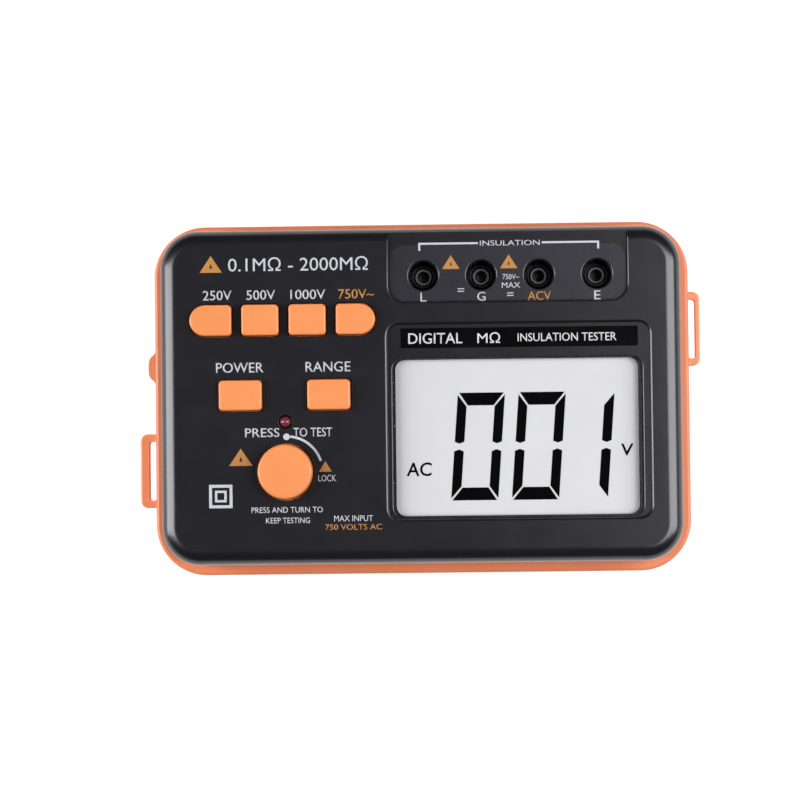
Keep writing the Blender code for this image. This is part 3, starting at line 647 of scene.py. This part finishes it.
def build_cover():
    """The black shell, with every edge on its face rounded."""
    foot = (COVER.x1, COVER.y1, 11.2)
    shoulder = (COVER.x1 - 1.4, COVER.y1 - 0.15, 10.4)
    tongue = (COVER.x1 - 2.5, COVER.y1 - 1.8, 9.0)
    inside = inset(tongue, 1.4)
    bevel, tongue_depth, roof_fillet = 0.25, 2.0, 2.6
    rings = []
    for inwards, upwards in reversed(quarter(12)):
        z = FACE_Z - FACE_FILLET * (1 - upwards)
        rings.append(centred(*inset(shoulder, FACE_FILLET * inwards), z))
    rings += [
        centred(*foot, BASE_Z + bevel),
        centred(*inset(foot, bevel), BASE_Z),
        centred(*tongue, BASE_Z),
        centred(*tongue, BASE_Z - tongue_depth),
        centred(*inside, BASE_Z - tongue_depth),
        centred(*inside, ROOF_Z - roof_fillet),
        centred(*inset(inside, roof_fillet), ROOF_Z),
    ]
    cover = loose("cover", stack(rings))
    low = BELOW_FACE_Z
    view_area = (WINDOW.x0 + 0.65, WINDOW.x1 - 1.1, WINDOW.y0 + 0.35, WINDOW.y1 - 0.1)
    cutters = [
        flared(lambda out: rounded(BEZEL, 3.2, out), BEZEL_FLOOR_Z, FACE_Z, 0.8),
        flared(lambda out: rounded(WINDOW.plan(0.1), 3.0, out), WINDOW.z0 - GAP, BEZEL_FLOOR_Z, 0.4),
        prism(rounded(view_area, 2.7), low, FACE_Z + TOP),
        flared(lambda out: rounded(RECESS, 4.6, out), PANEL.z1, FACE_Z, 0.45),
        prism(rounded(panel_plan(GAP), 3.8), low, FACE_Z + TOP),
        flared(circle(KNOB.x, KNOB.y, 7.9, 64), low, FACE_Z, 0.3),
        flared(circle(LAMP.x, LAMP.y, 1.8, 24), low, FACE_Z, 0.2),
    ]
    for shape in KEYS.values():
        cutters.append(flared(lambda out, shape=shape: shape(out + KEY_CLEARANCE), low, FACE_Z, 0.3))
    cut(cover, *cutters)
    finish(cover, cover_plastic, replaced=["upper_cover"], record_slot="case_black")


def panel_plan(out=0.0):
    """The outline of the terminal panel's visible face, inside its border."""
    return (PANEL.x0 + 1.9 - out, PANEL.x1 - 1.9 + out, PANEL.y0 + 1.7 - out, PANEL.y1 + out)


def build_panel():
    """The plate round the sockets. Its joint with the cover is drawn as a hairline."""
    border = (PANEL.x0, PANEL.x1, PANEL.y0, PANEL.y1 - 1.0)
    hairline, corner, flange = 0.04, 3.8, 0.7
    made = loose("panel", prism(rounded(border, 0.5, steps=2), PANEL.z0, PANEL.z0 + flange))
    plate = rounded(panel_plan(GAP - hairline), corner - hairline)
    join(made, prism(plate, PANEL.z0 + 0.2, PANEL.z1))
    cut(made, *[flared(circle(s.x, s.y, SOCKET_HOLE_R), 60, PANEL.z1, 0.4) for s in SOCKETS])
    finish(made, panel_plastic, replaced=["terminal_panel"], record_slot="case_black")


def side_span(side, near, far):
    """X values on one side of the case, in rising order."""
    return sorted((side * near, side * far))


def build_case():
    """The orange shell and its rim band."""
    rim = (CASE.x1, CASE.y1, CASE_CORNER)
    under_rim = (CASE.x1 - 1.6, CASE.y1 - 1.6, CASE_CORNER - 1.7)
    foot = (CASE.x1 - 3.1, CASE.y1 - 3.1, CASE_CORNER - 2.7)
    mouth = (CASE.x1 - 4.0, CASE.y1 - 4.0, 9.8)
    cavity = (CASE.x1 - 5.4, CASE.y1 - 5.4, 9.6)
    top_edge, low_edge, foot_edge = 0.9, 0.8, 1.6
    top, bottom, rim_low, wall_top, cavity_floor = CASE.z1, CASE.z0, 33.8, 32.6, 5.0
    rings = []
    for inwards, upwards in reversed(quarter(6)):
        rings.append(centred(*inset(foot, foot_edge * inwards), bottom + foot_edge * (1 - upwards)))
    rings.append(centred(*under_rim, wall_top))
    for inwards, upwards in reversed(quarter(4)):
        rings.append(centred(*inset(rim, low_edge * inwards), rim_low + low_edge * (1 - upwards)))
    for inwards, upwards in quarter(6):
        rings.append(centred(*inset(rim, top_edge * inwards), top - top_edge * (1 - upwards)))
    rings.append(centred(*mouth, top))
    rings.append(centred(*cavity, cavity_floor))
    case = loose("case", stack(rings))

    screws = [Area(f"case_screw_{i}") for i in range(1, 5)]
    door_screws = [Area("door_screw_left"), Area("door_screw_right")]
    feet = [Area(f"foot_{i}") for i in range(1, 5)]
    door = Area("battery_door")
    join(
        case,
        *[disc(s.x, s.y, 4.0, 4.0, 37.9) for s in screws],
        *[disc(s.x, s.y, 3.2, 4.0, 16.0, 32) for s in door_screws],
    )
    below = bottom - 1
    plug = Area("inlet_plug")
    hole_x, hole_y = BATTERY_HOLE
    cut(
        case,
        *[disc(s.x, s.y, 3.2, below, 26.0) for s in screws],
        *[disc(s.x, s.y, SCREW_HOLE_R, 25.0, 41.0, 24) for s in screws],
        *[disc(f.x, f.y, 5.0 + GAP, below, bottom + 1.1) for f in feet],
        prism(rounded(door.plan(GAP), 4.0 + GAP), below, bottom + 1.4 + GAP),
        box(-hole_x, hole_x, -hole_y, hole_y, below, 6.0),
        *[disc(s.x, s.y, SCREW_HOLE_R, below, 14.0, 24) for s in door_screws],
        laid_along_x(disc(0, 0, 4.2, -5, 5), 3.0 - CASE.x1, plug.y, plug.z),
    )
    finish(case, case_plastic, replaced=["lower_case"], record_slot="case_orange")


def build_lug(node, side):
    """A moulded strap loop with rounded outer corners and a slot for the strap."""
    lug = Area(node)
    outer_x = lug.x1 if side > 0 else -lug.x0
    x0, x1 = side_span(side, CASE.x1 - 2.6, outer_x)
    corner, root = 2.0, 0.3
    left, right = (root, corner) if side > 0 else (corner, root)

    def shape(out):
        return outline(x0 - out, x1 + out, lug.y0 - out, lug.y1 + out, left + out, right + out, 6)

    made = loose(node.replace("strap_lug", "lug"), pad(shape, lug.z0, lug.z1 - 0.3, 0.5, 0.5))
    slot_x = side_span(side, CASE.x1 - 0.2, CASE.x1 + 2.0)
    slot = (*slot_x, lug.y0 + 2.0, lug.y1 - 2.0)
    cut(made, prism(rounded(slot, 0.9, steps=5), lug.z0 - 1, lug.z1 + 1))
    finish(made, lug_plastic_painted_light, replaced=[node], record_slot="case_orange")


def build_dust_plug():
    """The rubber plug in the adaptor inlet: a domed head with a finger lip, and a hollow stub."""
    plug = Area("inlet_plug")
    profile = [(0, 0), *bend((1.4, 2.6), 2.6, -90, -30, 6), *bend((3.75, 2.4), 0.9, -40, 0, 4),
               (4.65, 4.1), (2.5, 4.1), (2.5, 9.2), (2.2, 9.5), (1.3, 9.5), (1.3, 5.2), (0, 5.2)]
    made = loose("dust_plug", laid_along_x(turned(profile, 48), plug.x0, plug.y, plug.z))
    finish(made, plug_rubber, body="inlet_plug", replaced=["inlet_plug"],
                  record_slot="plug_rubber")


# ---- keys, knob, lamp and sockets ---------------------------------------------------------


def build_key(node, shape):
    """A key cap with a rounded rim, its flange and its stem."""
    key = Area(node)
    edge, stem = 0.55, 1.8
    rings = [at(shape(KEY_FLANGE), FLANGE_LOW_Z), at(shape(KEY_FLANGE), FLANGE_HIGH_Z),
             at(shape(0), FLANGE_HIGH_Z)]
    rings += [at(shape(-edge * a), key.z1 - edge * (1 - b)) for a, b in quarter(5)]
    made = loose(node.replace("_key", "_keycap"), stack(rings))
    join(made, box(key.x - stem, key.x + stem, key.y - stem, key.y + stem, key.z0, FLANGE_LOW_Z + 0.5))
    finish(made, key_plastic, body=node, replaced=[node], record_slot="key_orange")


def build_knob():
    """The test knob: a plain drum with a rounded rim and a faint dish."""
    top, radius, edge, stem = KNOB.z1, 7.4, 0.7, 2.4
    flange = (KNOB.x1 - KNOB.x0) / 2
    profile = [(0, KNOB.z0), (stem, KNOB.z0), (stem, FLANGE_LOW_Z), (flange, FLANGE_LOW_Z),
               (flange, FLANGE_HIGH_Z), (radius, FLANGE_HIGH_Z),
               *bend((radius - edge, top - edge), edge, 0, 90, 7), (radius - 1.6, top - 0.05),
               (radius - 3.5, top - 0.12), (0, top - 0.14)]
    made = loose("knob", turned(profile, 96, (KNOB.x, KNOB.y)))
    finish(made, key_plastic, body="test_knob", replaced=["test_knob"],
                  record_slot="key_orange")


def build_lamp():
    """The test lamp: a domed epoxy body on two legs."""
    top, radius, body_z = LAMP.z1, 1.5, 58.0
    dome = bend((0, top - radius), radius, 0, 90, 8)
    profile = [(0, body_z), (radius, body_z), *dome[:-1], (0, top)]
    made = loose("lamp", turned(profile, 32, (LAMP.x, LAMP.y)))
    for side in (-1, 1):
        leg = LAMP.x + side * 0.8
        join(made, box(leg - 0.25, leg + 0.25, LAMP.y - 0.25, LAMP.y + 0.25, LAMP.z0, body_z + 0.5))
    finish(made, lamp_epoxy(), replaced=["test_lamp"], record_slot="lamp_red")


def build_socket(name, sleeve):
    """The insulating sleeve behind the panel with its centre post, and the contact in the post."""
    contact = Area("socket_contact_" + name)
    board, top, post = sleeve.z0, sleeve.z1, contact.z1 + 0.4
    flange = (sleeve.x1 - sleeve.x0) / 2
    bore, outer, leg, floor = 3.9, 4.75, 1.1, 51.0
    profile = [(flange, top), (flange, top - 1.5), (outer, top - 1.5), (outer, board), (leg, board),
               (leg, floor - 1), (2.65, floor - 1), (2.65, post), *bend((3.0, post - 0.2), 0.2, 90, 0, 3),
               (3.2, floor), (bore, floor), (bore, top - 0.2), (bore + 0.2, top)]
    made = loose("sleeve_" + name, turned(profile, 56, (sleeve.x, sleeve.y), closed=True))
    finish(made, shroud_plastic, replaced=["socket_sleeve_" + name], record_slot="socket_black")
    profile = [(0, 49.6), (1.5, 49.6), (1.5, contact.z1 - 0.2), (1.7, contact.z1), (2.2, contact.z1),
               (2.35, contact.z1 - 0.15), (2.35, contact.z0), (0, contact.z0)]
    made = loose("contact_" + name, turned(profile, 48, (sleeve.x, sleeve.y)))
    finish(made, brass, replaced=["socket_contact_" + name], record_slot="brass")


# ---- display ------------------------------------------------------------------------------


DIGIT_SLANT = math.tan(math.radians(4.3))


def build_window():
    """The clear window, with a rounded upper edge."""
    made = loose("window", pad(lambda out: rounded(WINDOW.plan(), 2.9, out), WINDOW.z0, WINDOW.z1, 0.45))
    finish(made, clear_window(), replaced=["lcd_window"], record_slot="window_clear")


def build_display_glass():
    """The display glass. Its figures are the films on top of it."""
    made = loose("display_glass", pad(lambda out: rounded(GLASS.plan(), 0.3, out), GLASS.z0,
                                      GLASS.z1 - 0.05, 0.2))
    finish(made, display_sheet(), replaced=["lcd_glass"], record_slot="lcd_glass")


def slanted(points, foot_y):
    """Leans a flat outline to the right, about the foot of the digits."""
    return [(x + (y - foot_y) * DIGIT_SLANT, y) for x, y in points]


def segments(x0, x1, foot, head):
    """The six outer bars of a figure, by name: outlines with mitred ends."""
    bar, post, slit = 3.5, 2.6, 0.32
    middle, waist = (foot + head) / 2, 1.3

    def post_outline(x_out, x_in, y_mid, y_end):
        up = math.copysign(1, y_end - y_mid)
        return [(x_out, y_end - up * (slit + 0.25)), (x_out, y_mid + up * waist),
                ((x_out + x_in) / 2, y_mid + up * (waist - 0.5)), (x_in, y_mid + up * waist),
                (x_in, y_end - up * (bar + slit))]

    def bar_outline(y_out, up):
        return [(x0 + slit, y_out), (x1 - slit, y_out),
                (x1 - post - slit, y_out - up * bar), (x0 + post + slit, y_out - up * bar)]

    return {
        "top": bar_outline(head, 1),
        "bottom": bar_outline(foot, -1),
        "upper_left": post_outline(x0, x0 + post, middle, head),
        "lower_left": post_outline(x0, x0 + post, middle, foot),
        "upper_right": post_outline(x1, x1 - post, middle, head),
        "lower_right": post_outline(x1, x1 - post, middle, foot),
    }


def build_digits():
    """The lit figures 0, 0 and 1, each segment a thin film on the display glass."""
    black = segment_black()
    foot, head = WINDOW.y0 + 4.5, WINDOW.y0 + 34.0
    width = 12.9
    lefts = (WINDOW.x0 + 15.5, WINDOW.x0 + 32.15, WINDOW.x0 + 45.5)
    shown = (None, None, ("upper_right", "lower_right"))  # None lights every bar
    for index, left in enumerate(lefts):
        bars = segments(left, left + width, foot, head)
        lit = shown[index] or bars.keys()
        films = [prism(slanted(points, foot), GLASS.z1 - 0.06, GLASS.z1)
                 for name, points in bars.items() if name in lit]
        finish(loose(f"digit_{index + 1}", merged(films)), black, record_slot="inner_black")
    lettering("display_ac", "AC", (WINDOW.x0 + 6.85, WINDOW.y0 + 13.15), (6.9, 3.8), black, GLASS.z1,
              bold=0.012, lean=0.05)
    lettering("display_v", "V", (WINDOW.x0 + 63.9, WINDOW.y0 + 17.9), (3.4, 3.3), black, GLASS.z1,
              bold=0.012, lean=0.05)


# ---- prints -------------------------------------------------------------------------------


INK_HEIGHT = 0.03  # from a print's underside, which is sunk a little, to its top
INK_SUNK = 0.01


def lettering(name, text, centre, size, material, surface_z, bold=0.006, lean=0.0):
    """Words fitted to a width and height, raised very slightly from the surface."""
    curve = bpy.data.curves.new(name, "FONT")
    curve.body = text
    curve.offset = 0.0 if "M" in text else bold  # thickening would close up the font's M
    curve.resolution_u = 3
    curve.shear = lean
    helper = bpy.data.objects.new(name + "_outline", curve)
    bpy.context.scene.collection.objects.link(helper)
    graph = bpy.context.evaluated_depsgraph_get()
    data = bpy.data.meshes.new_from_object(helper.evaluated_get(graph))
    bpy.data.objects.remove(helper)
    mesh = bmesh.new()
    mesh.from_mesh(data)
    bpy.data.meshes.remove(data)
    bmesh.ops.remove_doubles(mesh, verts=mesh.verts, dist=0.0005)
    xs = [v.co.x for v in mesh.verts]
    ys = [v.co.y for v in mesh.verts]
    middle = Vector(((min(xs) + max(xs)) / 2, (min(ys) + max(ys)) / 2, 0))
    scale = (size[0] / (max(xs) - min(xs)), size[1] / (max(ys) - min(ys)), 1)
    bmesh.ops.translate(mesh, verts=mesh.verts, vec=-middle)
    bmesh.ops.scale(mesh, verts=mesh.verts, vec=scale)
    bmesh.ops.translate(mesh, verts=mesh.verts, vec=(*centre, surface_z - INK_SUNK))
    raised = bmesh.ops.extrude_face_region(mesh, geom=mesh.faces[:])
    tops = [part for part in raised["geom"] if isinstance(part, bmesh.types.BMVert)]
    bmesh.ops.translate(mesh, verts=tops, vec=(0, 0, INK_HEIGHT))
    bmesh.ops.recalc_face_normals(mesh, faces=mesh.faces)
    finish(loose(name, mesh), material, smooth=False)


def print_shape(name, outlines, material, surface_z, holes=()):
    """A printed figure made of flat outlines, with optional openings."""
    low, high = surface_z - INK_SUNK, surface_z - INK_SUNK + INK_HEIGHT
    made = loose(name, prism(outlines[0], low, high))
    join(made, *[prism(points, low, high) for points in outlines[1:]])
    cut(made, *[prism(points, low - 1, high + 1) for points in holes])
    finish(made, material, smooth=False)


def triangle(x, y, width, height):
    """An upright triangle about the middle of its box."""
    return [(x - width / 2, y - height / 2), (x + width / 2, y - height / 2), (x, y + height / 2)]


def rectangle(x, y, width, height):
    """A rectangle about its middle."""
    return [(x - width / 2, y - height / 2), (x + width / 2, y - height / 2),
            (x + width / 2, y + height / 2), (x - width / 2, y + height / 2)]


def caution_mark(name, x, y, width, height, surface_z):
    """A plain triangle with a small opening in its middle."""
    middle = triangle(x, y - height * 0.1, width * 0.13, height * 0.3)
    return print_shape(name, [triangle(x, y, width, height)], orange_ink, surface_z, [middle])


def build_prints():
    """All the prints on the face, by the part that they belong to."""
    row = Area("select_key_500")
    labels = (("250V", 1.8, 7.9, white_ink), ("500V", 0.2, 7.9, white_ink),
              ("1000V", 0.2, 9.6, white_ink), ("750V~", 0.2, 9.8, orange_ink))
    for (text, shift, width, colour), name in zip(labels, SELECTOR_NAMES):
        key = Area("select_key_" + name)
        lettering("print_" + name, text, (key.x + shift, row.y1 + 2.0), (width, 2.7), colour, FACE_Z)
    left = Area("select_key_250").x0
    title_y = row.y1 + 10.4
    lettering("print_title", "0.1MΩ - 2000MΩ", (left + 30.5, title_y), (38.3, 3.8), white_ink, FACE_Z)
    caution_mark("print_caution_title", left + 6.6, title_y + 0.15, 6.1, 4.6, FACE_Z)
    for node, text, width in (("power_key", "POWER", 13.0), ("range_key", "RANGE", 12.3)):
        key = Area(node)
        lettering("print_" + text.lower(), text, (key.x - 0.2, key.y1 + 2.8), (width, 2.8), white_ink,
                  FACE_Z)
    build_test_prints()
    build_terminal_prints()
    build_label()


def build_test_prints():
    """The marks round the test knob."""
    x, y = KNOB.x + 0.25, KNOB.y - 0.1
    lettering("print_press", "PRESS", (x - 6.6, y + 10.9), (9.4, 2.5), white_ink, FACE_Z)
    lettering("print_to_test", "TO TEST", (x + 7.2, y + 10.9), (10.6, 2.5), white_ink, FACE_Z)
    print_shape("print_dot", [circle(x, y + 9.7, 0.9, 20)()], white_ink, FACE_Z)
    start, end, steps, radius, band = 84.2, 18.0, 16, 9.8, 0.65
    angles = [math.radians(start + (end - start) * i / steps) for i in range(steps + 1)]
    edges = []
    for r in (radius + band / 2, radius - band / 2):
        edges.append([(x + r * math.cos(a), y + r * math.sin(a)) for a in angles])
    print_shape("print_arc", [edges[0] + edges[1][::-1]], white_ink, FACE_Z)
    caution_mark("print_caution_knob", x - 12.55, y + 4.25, 6.4, 4.7, FACE_Z)
    print_shape("print_lock_mark", [triangle(x + 10.55, y + 1.5, 3.5, 2.9)], orange_ink, FACE_Z)
    lettering("print_lock", "LOCK", (x + 11.0, y - 1.7), (4.9, 1.8), white_ink, FACE_Z)
    notes = (("PRESS AND TURN TO", 0.0, -10.25, 19.5, white_ink),
             ("KEEP TESTING", 0.2, -13.15, 12.0, white_ink),
             ("MAX INPUT", 18.1, -12.75, 10.6, white_ink),
             ("750 VOLTS AC", 18.1, -15.1, 15.5, orange_ink))
    for index, (text, across, down, width, colour) in enumerate(notes, 1):
        lettering(f"print_note_{index}", text, (x + across, y + down), (width, 1.6), colour, FACE_Z)
    build_nested_squares("print_square_mark", (x - 18.1, y - 6.4), 6.4, 0.8)


def build_nested_squares(name, centre, size, band):
    """Two squares, one inside the other: the plain sign of double insulation."""
    for ending, outer, line in (("", size, band), ("_inner", size * 0.5, band * 0.8)):
        opening = outer - 2 * line
        print_shape(name + ending, [rectangle(*centre, outer, outer)], white_ink, FACE_Z,
                    [rectangle(*centre, opening, opening)])


def build_terminal_prints():
    """The letters, the bracket and the small marks between the sockets."""
    letters = (("L", 1.7, 2.5, white_ink), ("G", 2.3, 2.5, white_ink), ("ACV", 6.4, 2.5, orange_ink),
               ("E", 1.8, 2.5, white_ink))
    y = SOCKETS[0].y
    for socket, (text, width, height, colour) in zip(SOCKETS, letters):
        lettering("print_terminal_" + text.lower(), text, (socket.x, y - 5.9), (width, height), colour,
                  PANEL.z1)
    left, right, high, band, drop = SOCKETS[0].x - 1.0, SOCKETS[-1].x + 0.4, y + 8.7, 0.55, 1.9
    words_left, words_right = left + 16.6, left + 33.0
    spans = (("left", left, words_left - 0.8, left), ("right", words_right + 0.8, right, right))
    for name, x0, x1, end in spans:
        bar = rectangle((x0 + x1) / 2, high, x1 - x0 + band, band)
        leg = rectangle(end, high - drop / 2, band, drop)
        print_shape("print_bracket_" + name, [bar, leg], white_ink, PANEL.z1)
    lettering("print_bracket_words", "INSULATION", ((words_left + words_right) / 2, high),
              (words_right - words_left, 1.5), white_ink, PANEL.z1)
    for index in (0, 1):
        x = (SOCKETS[index].x + SOCKETS[index + 1].x) / 2 - 0.35
        caution_mark(f"print_caution_terminal_{index + 1}", x, y + 3.6, 4.8, 3.8, PANEL.z1)
    middle = (SOCKETS[1].x + SOCKETS[2].x) / 2
    marks = (("750V~", 0.2, -0.6, 4.6), ("MAX", 0.2, -2.9, 5.0), ("=", 0.0, -5.4, 1.8),
             ("=", -13.5, -4.1, 1.8))
    for index, (text, across, down, width) in enumerate(marks, 1):
        lettering(f"print_terminal_note_{index}", text, (middle + across, y + down),
                  (width, 1.0 if text == "=" else 1.5), white_ink, PANEL.z1)


def build_label():
    """The glossy strip over the window, with plain words on it."""
    x0, x1 = WINDOW.x0 + 2.1, WINDOW.x1 - 1.0
    y0, y1 = WINDOW.y1 + 3.05, WINDOW.y1 + 8.5
    strip = (x0, x1, y0, y1)
    made = loose("label_strip", pad(lambda out: rounded(strip, 0.5, out, 4), BEZEL_FLOOR_Z - 0.02,
                                    BEZEL_FLOOR_Z + 0.1, 0.05, steps=2))
    finish(made, label_film)
    surface, y = BEZEL_FLOOR_Z + 0.1, (y0 + y1) / 2 - 0.1
    lettering("print_digital", "DIGITAL", (x0 + 9.6, y), (14.8, 3.0), label_ink, surface)
    lettering("print_ohms", "MΩ", (x0 + 24.2, y), (6.2, 2.9), label_ink, surface)
    lettering("print_tester", "INSULATION TESTER", (x0 + 45.6, y), (27.0, 2.3), label_ink, surface)


# ---- underside and inside -----------------------------------------------------------------


def build_door():
    """The battery door, with finger grooves at its middle and countersunk screw holes."""
    door = Area("battery_door")
    skin = door.z0 + 1.4
    made = loose("door", pad(lambda out: rounded(door.plan(), 4.0, out), door.z0, skin, 0.1, 0.3))
    half_x, half_y = inset(BATTERY_HOLE, 0.4)
    join(made, box(-half_x, half_x, -half_y, half_y, skin - 0.2, door.z1))
    count, pitch = 7, 3.0
    for i in range(count):
        x = (i - (count - 1) / 2) * pitch
        groove = (x - 0.6, x + 0.6, -9, 9)
        cut(made, prism(rounded(groove, 0.55, steps=4), door.z0 - 1, door.z0 + 0.6))
    hole = [(0, door.z0 - 1), (3.9, door.z0 - 1), (3.0, door.z0), (1.8, door.z0 + 1.2), (1.8, 6.0),
            (0, 6.0)]
    for node in ("door_screw_left", "door_screw_right"):
        cut(made, turned(hole, 32, (Area(node).x, Area(node).y)))
    finish(made, case_plastic, body="battery_door", replaced=["battery_door"],
                  record_slot="case_orange")


def build_feet():
    """Four rubber feet with a faint dish under each."""
    for index in range(1, 5):
        node = f"foot_{index}"
        foot = Area(node)
        radius = (foot.x1 - foot.x0) / 2
        profile = [(0, 0.25), (radius - 2.2, 0.25), (radius - 1.8, 0),
                   *bend((radius - 0.6, 0.6), 0.6, -90, 0, 4), (radius, foot.z1), (0, foot.z1)]
        made = loose(f"rubber_foot_{index}", turned(profile, 40, (foot.x, foot.y)))
        finish(made, foot_rubber, replaced=[node], record_slot="foot_rubber")


def paint_hidden_parts():
    """Gives the CAD nodes that stay as they are their materials."""
    groups = {
        hidden_plastic: ("adaptor_inlet", "battery_tray", "buzzer", "selector_switch_bank",
                         "power_switch", "range_switch", "test_switch", "test_slider"),
        steel: ("contact_strip_left", "contact_strip_right", "test_spring", "door_screw_left",
                "door_screw_right", *[f"case_screw_{i}" for i in range(1, 5)]),
        white_plastic: ("lcd_holder",),
        zebra_rubber: ("lcd_zebra_strip",),
        wire_sleeving: ("battery_lead",),
        ferrite: ("hv_transformer",),
        lacquer: ("hv_capacitor",),
        circuit_board(): ("main_board",),
    }
    for material, nodes in groups.items():
        for node in nodes:
            paint(node, material)
    for index in range(1, 9):
        node = f"cell_{index}"
        cell = Area(node)
        paint(node, cell_wrap(cell.x0, cell.x1))


def paint(node, material):
    """Gives a CAD node one material."""
    data = frame["nodes"][node].data
    data.materials.clear()
    data.materials.append(material)


# ---- studio -------------------------------------------------------------------------------


def build_floor():
    """A plain pale floor."""
    n = Nodes("studio_floor")
    n.set(Base_Color=n.blend(n.noise(400.0), (0.34, 0.34, 0.34), (0.36, 0.36, 0.36)), Roughness=0.8,
          Emission_Color=(1.0, 1.0, 1.0, 1.0), Emission_Strength=0.7)
    reach = 3000.0
    mesh = bmesh.new()
    corners = ((-reach, -reach), (reach, -reach), (reach, reach), (-reach, reach))
    mesh.faces.new([mesh.verts.new((x, y, 0)) for x, y in corners])
    floor = loose("floor", mesh)
    floor.data.transform(Matrix.Scale(METRES, 4))
    floor.data.materials.append(n.material)
    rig.stage(floor)


def add_light(name, place, aim, size, radiance):
    """A soft box of that width and height in metres. Radiance is how bright its face looks."""
    light = bpy.data.lights.new(name, "AREA")
    light.shape = "RECTANGLE"
    light.size, light.size_y = size
    light.energy = radiance * math.pi * size[0] * size[1]
    light.color = (0.96, 0.96, 1.0)
    made = bpy.data.objects.new(name, light)
    made.location = place
    made.rotation_euler = (Vector(aim) - Vector(place)).to_track_quat("-Z", "Y").to_euler()
    made.visible_camera = False
    bpy.context.scene.collection.objects.link(made)


def build_lights():
    """A tall soft box on either side, and a dim room."""
    middle, away, tall = Vector((0.0, 0.0, 0.05)), 1.0, 1.1
    boxes = (("left_box", -1, 34, 0.45, 10.0), ("right_box", 1, 47, 0.6, 7.7))
    for name, side, elevation, wide, radiance in boxes:
        angle = math.radians(elevation)
        place = middle + Vector((side * math.cos(angle), 0, math.sin(angle))) * away
        add_light(name, place, middle, (wide, tall), radiance)
    world = bpy.data.worlds.new("studio")
    world.use_nodes = True
    background = world.node_tree.nodes["Background"]
    background.inputs["Color"].default_value = (1.0, 1.0, 1.0, 1.0)
    background.inputs["Strength"].default_value = 0.06
    bpy.context.scene.world = world
    bpy.context.scene.view_settings.view_transform = "Standard"


def build_camera():
    """Almost straight above the face, leaning slightly down it, and turned a little."""
    distance, across, down, roll = 0.9, math.radians(1.1), math.radians(2.1), math.radians(0.65)
    target = Vector((-6.2, -0.4, CASE.z1)) * METRES
    away = Vector((math.sin(across), -math.sin(down), 0))
    away.z = math.sqrt(1 - away.length_squared)
    right = Vector((0, 1, 0)).cross(away).normalized()
    up = away.cross(right)
    turned_right = right * math.cos(roll) - up * math.sin(roll)
    turned_up = right * math.sin(roll) + up * math.cos(roll)
    data = bpy.data.cameras.new("camera")
    data.lens = 144.2
    data.clip_end = 10
    camera = bpy.data.objects.new("camera", data)
    rotation = Matrix((turned_right, turned_up, away)).transposed().to_4x4()
    camera.matrix_world = Matrix.Translation(target + away * distance) @ rotation
    bpy.context.scene.collection.objects.link(camera)
    bpy.context.scene.camera = camera


# ---- assembly -----------------------------------------------------------------------------


build_camera()
build_floor()
build_lights()
build_cover()
build_panel()
build_case()
build_lug("strap_lug_left", -1)
build_lug("strap_lug_right", 1)
build_dust_plug()
for node, shape in KEYS.items():
    build_key(node, shape)
build_knob()
build_lamp()
for name, sleeve in zip(SOCKET_NAMES, SOCKETS):
    build_socket(name, sleeve)
build_window()
build_display_glass()
build_digits()
build_prints()
build_door()
build_feet()
paint_hidden_parts()

with open("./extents.json", "w") as out:
    json.dump({"cad": [list(v) for v in cad_bounds], "visual": [list(v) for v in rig.bounds()]}, out)
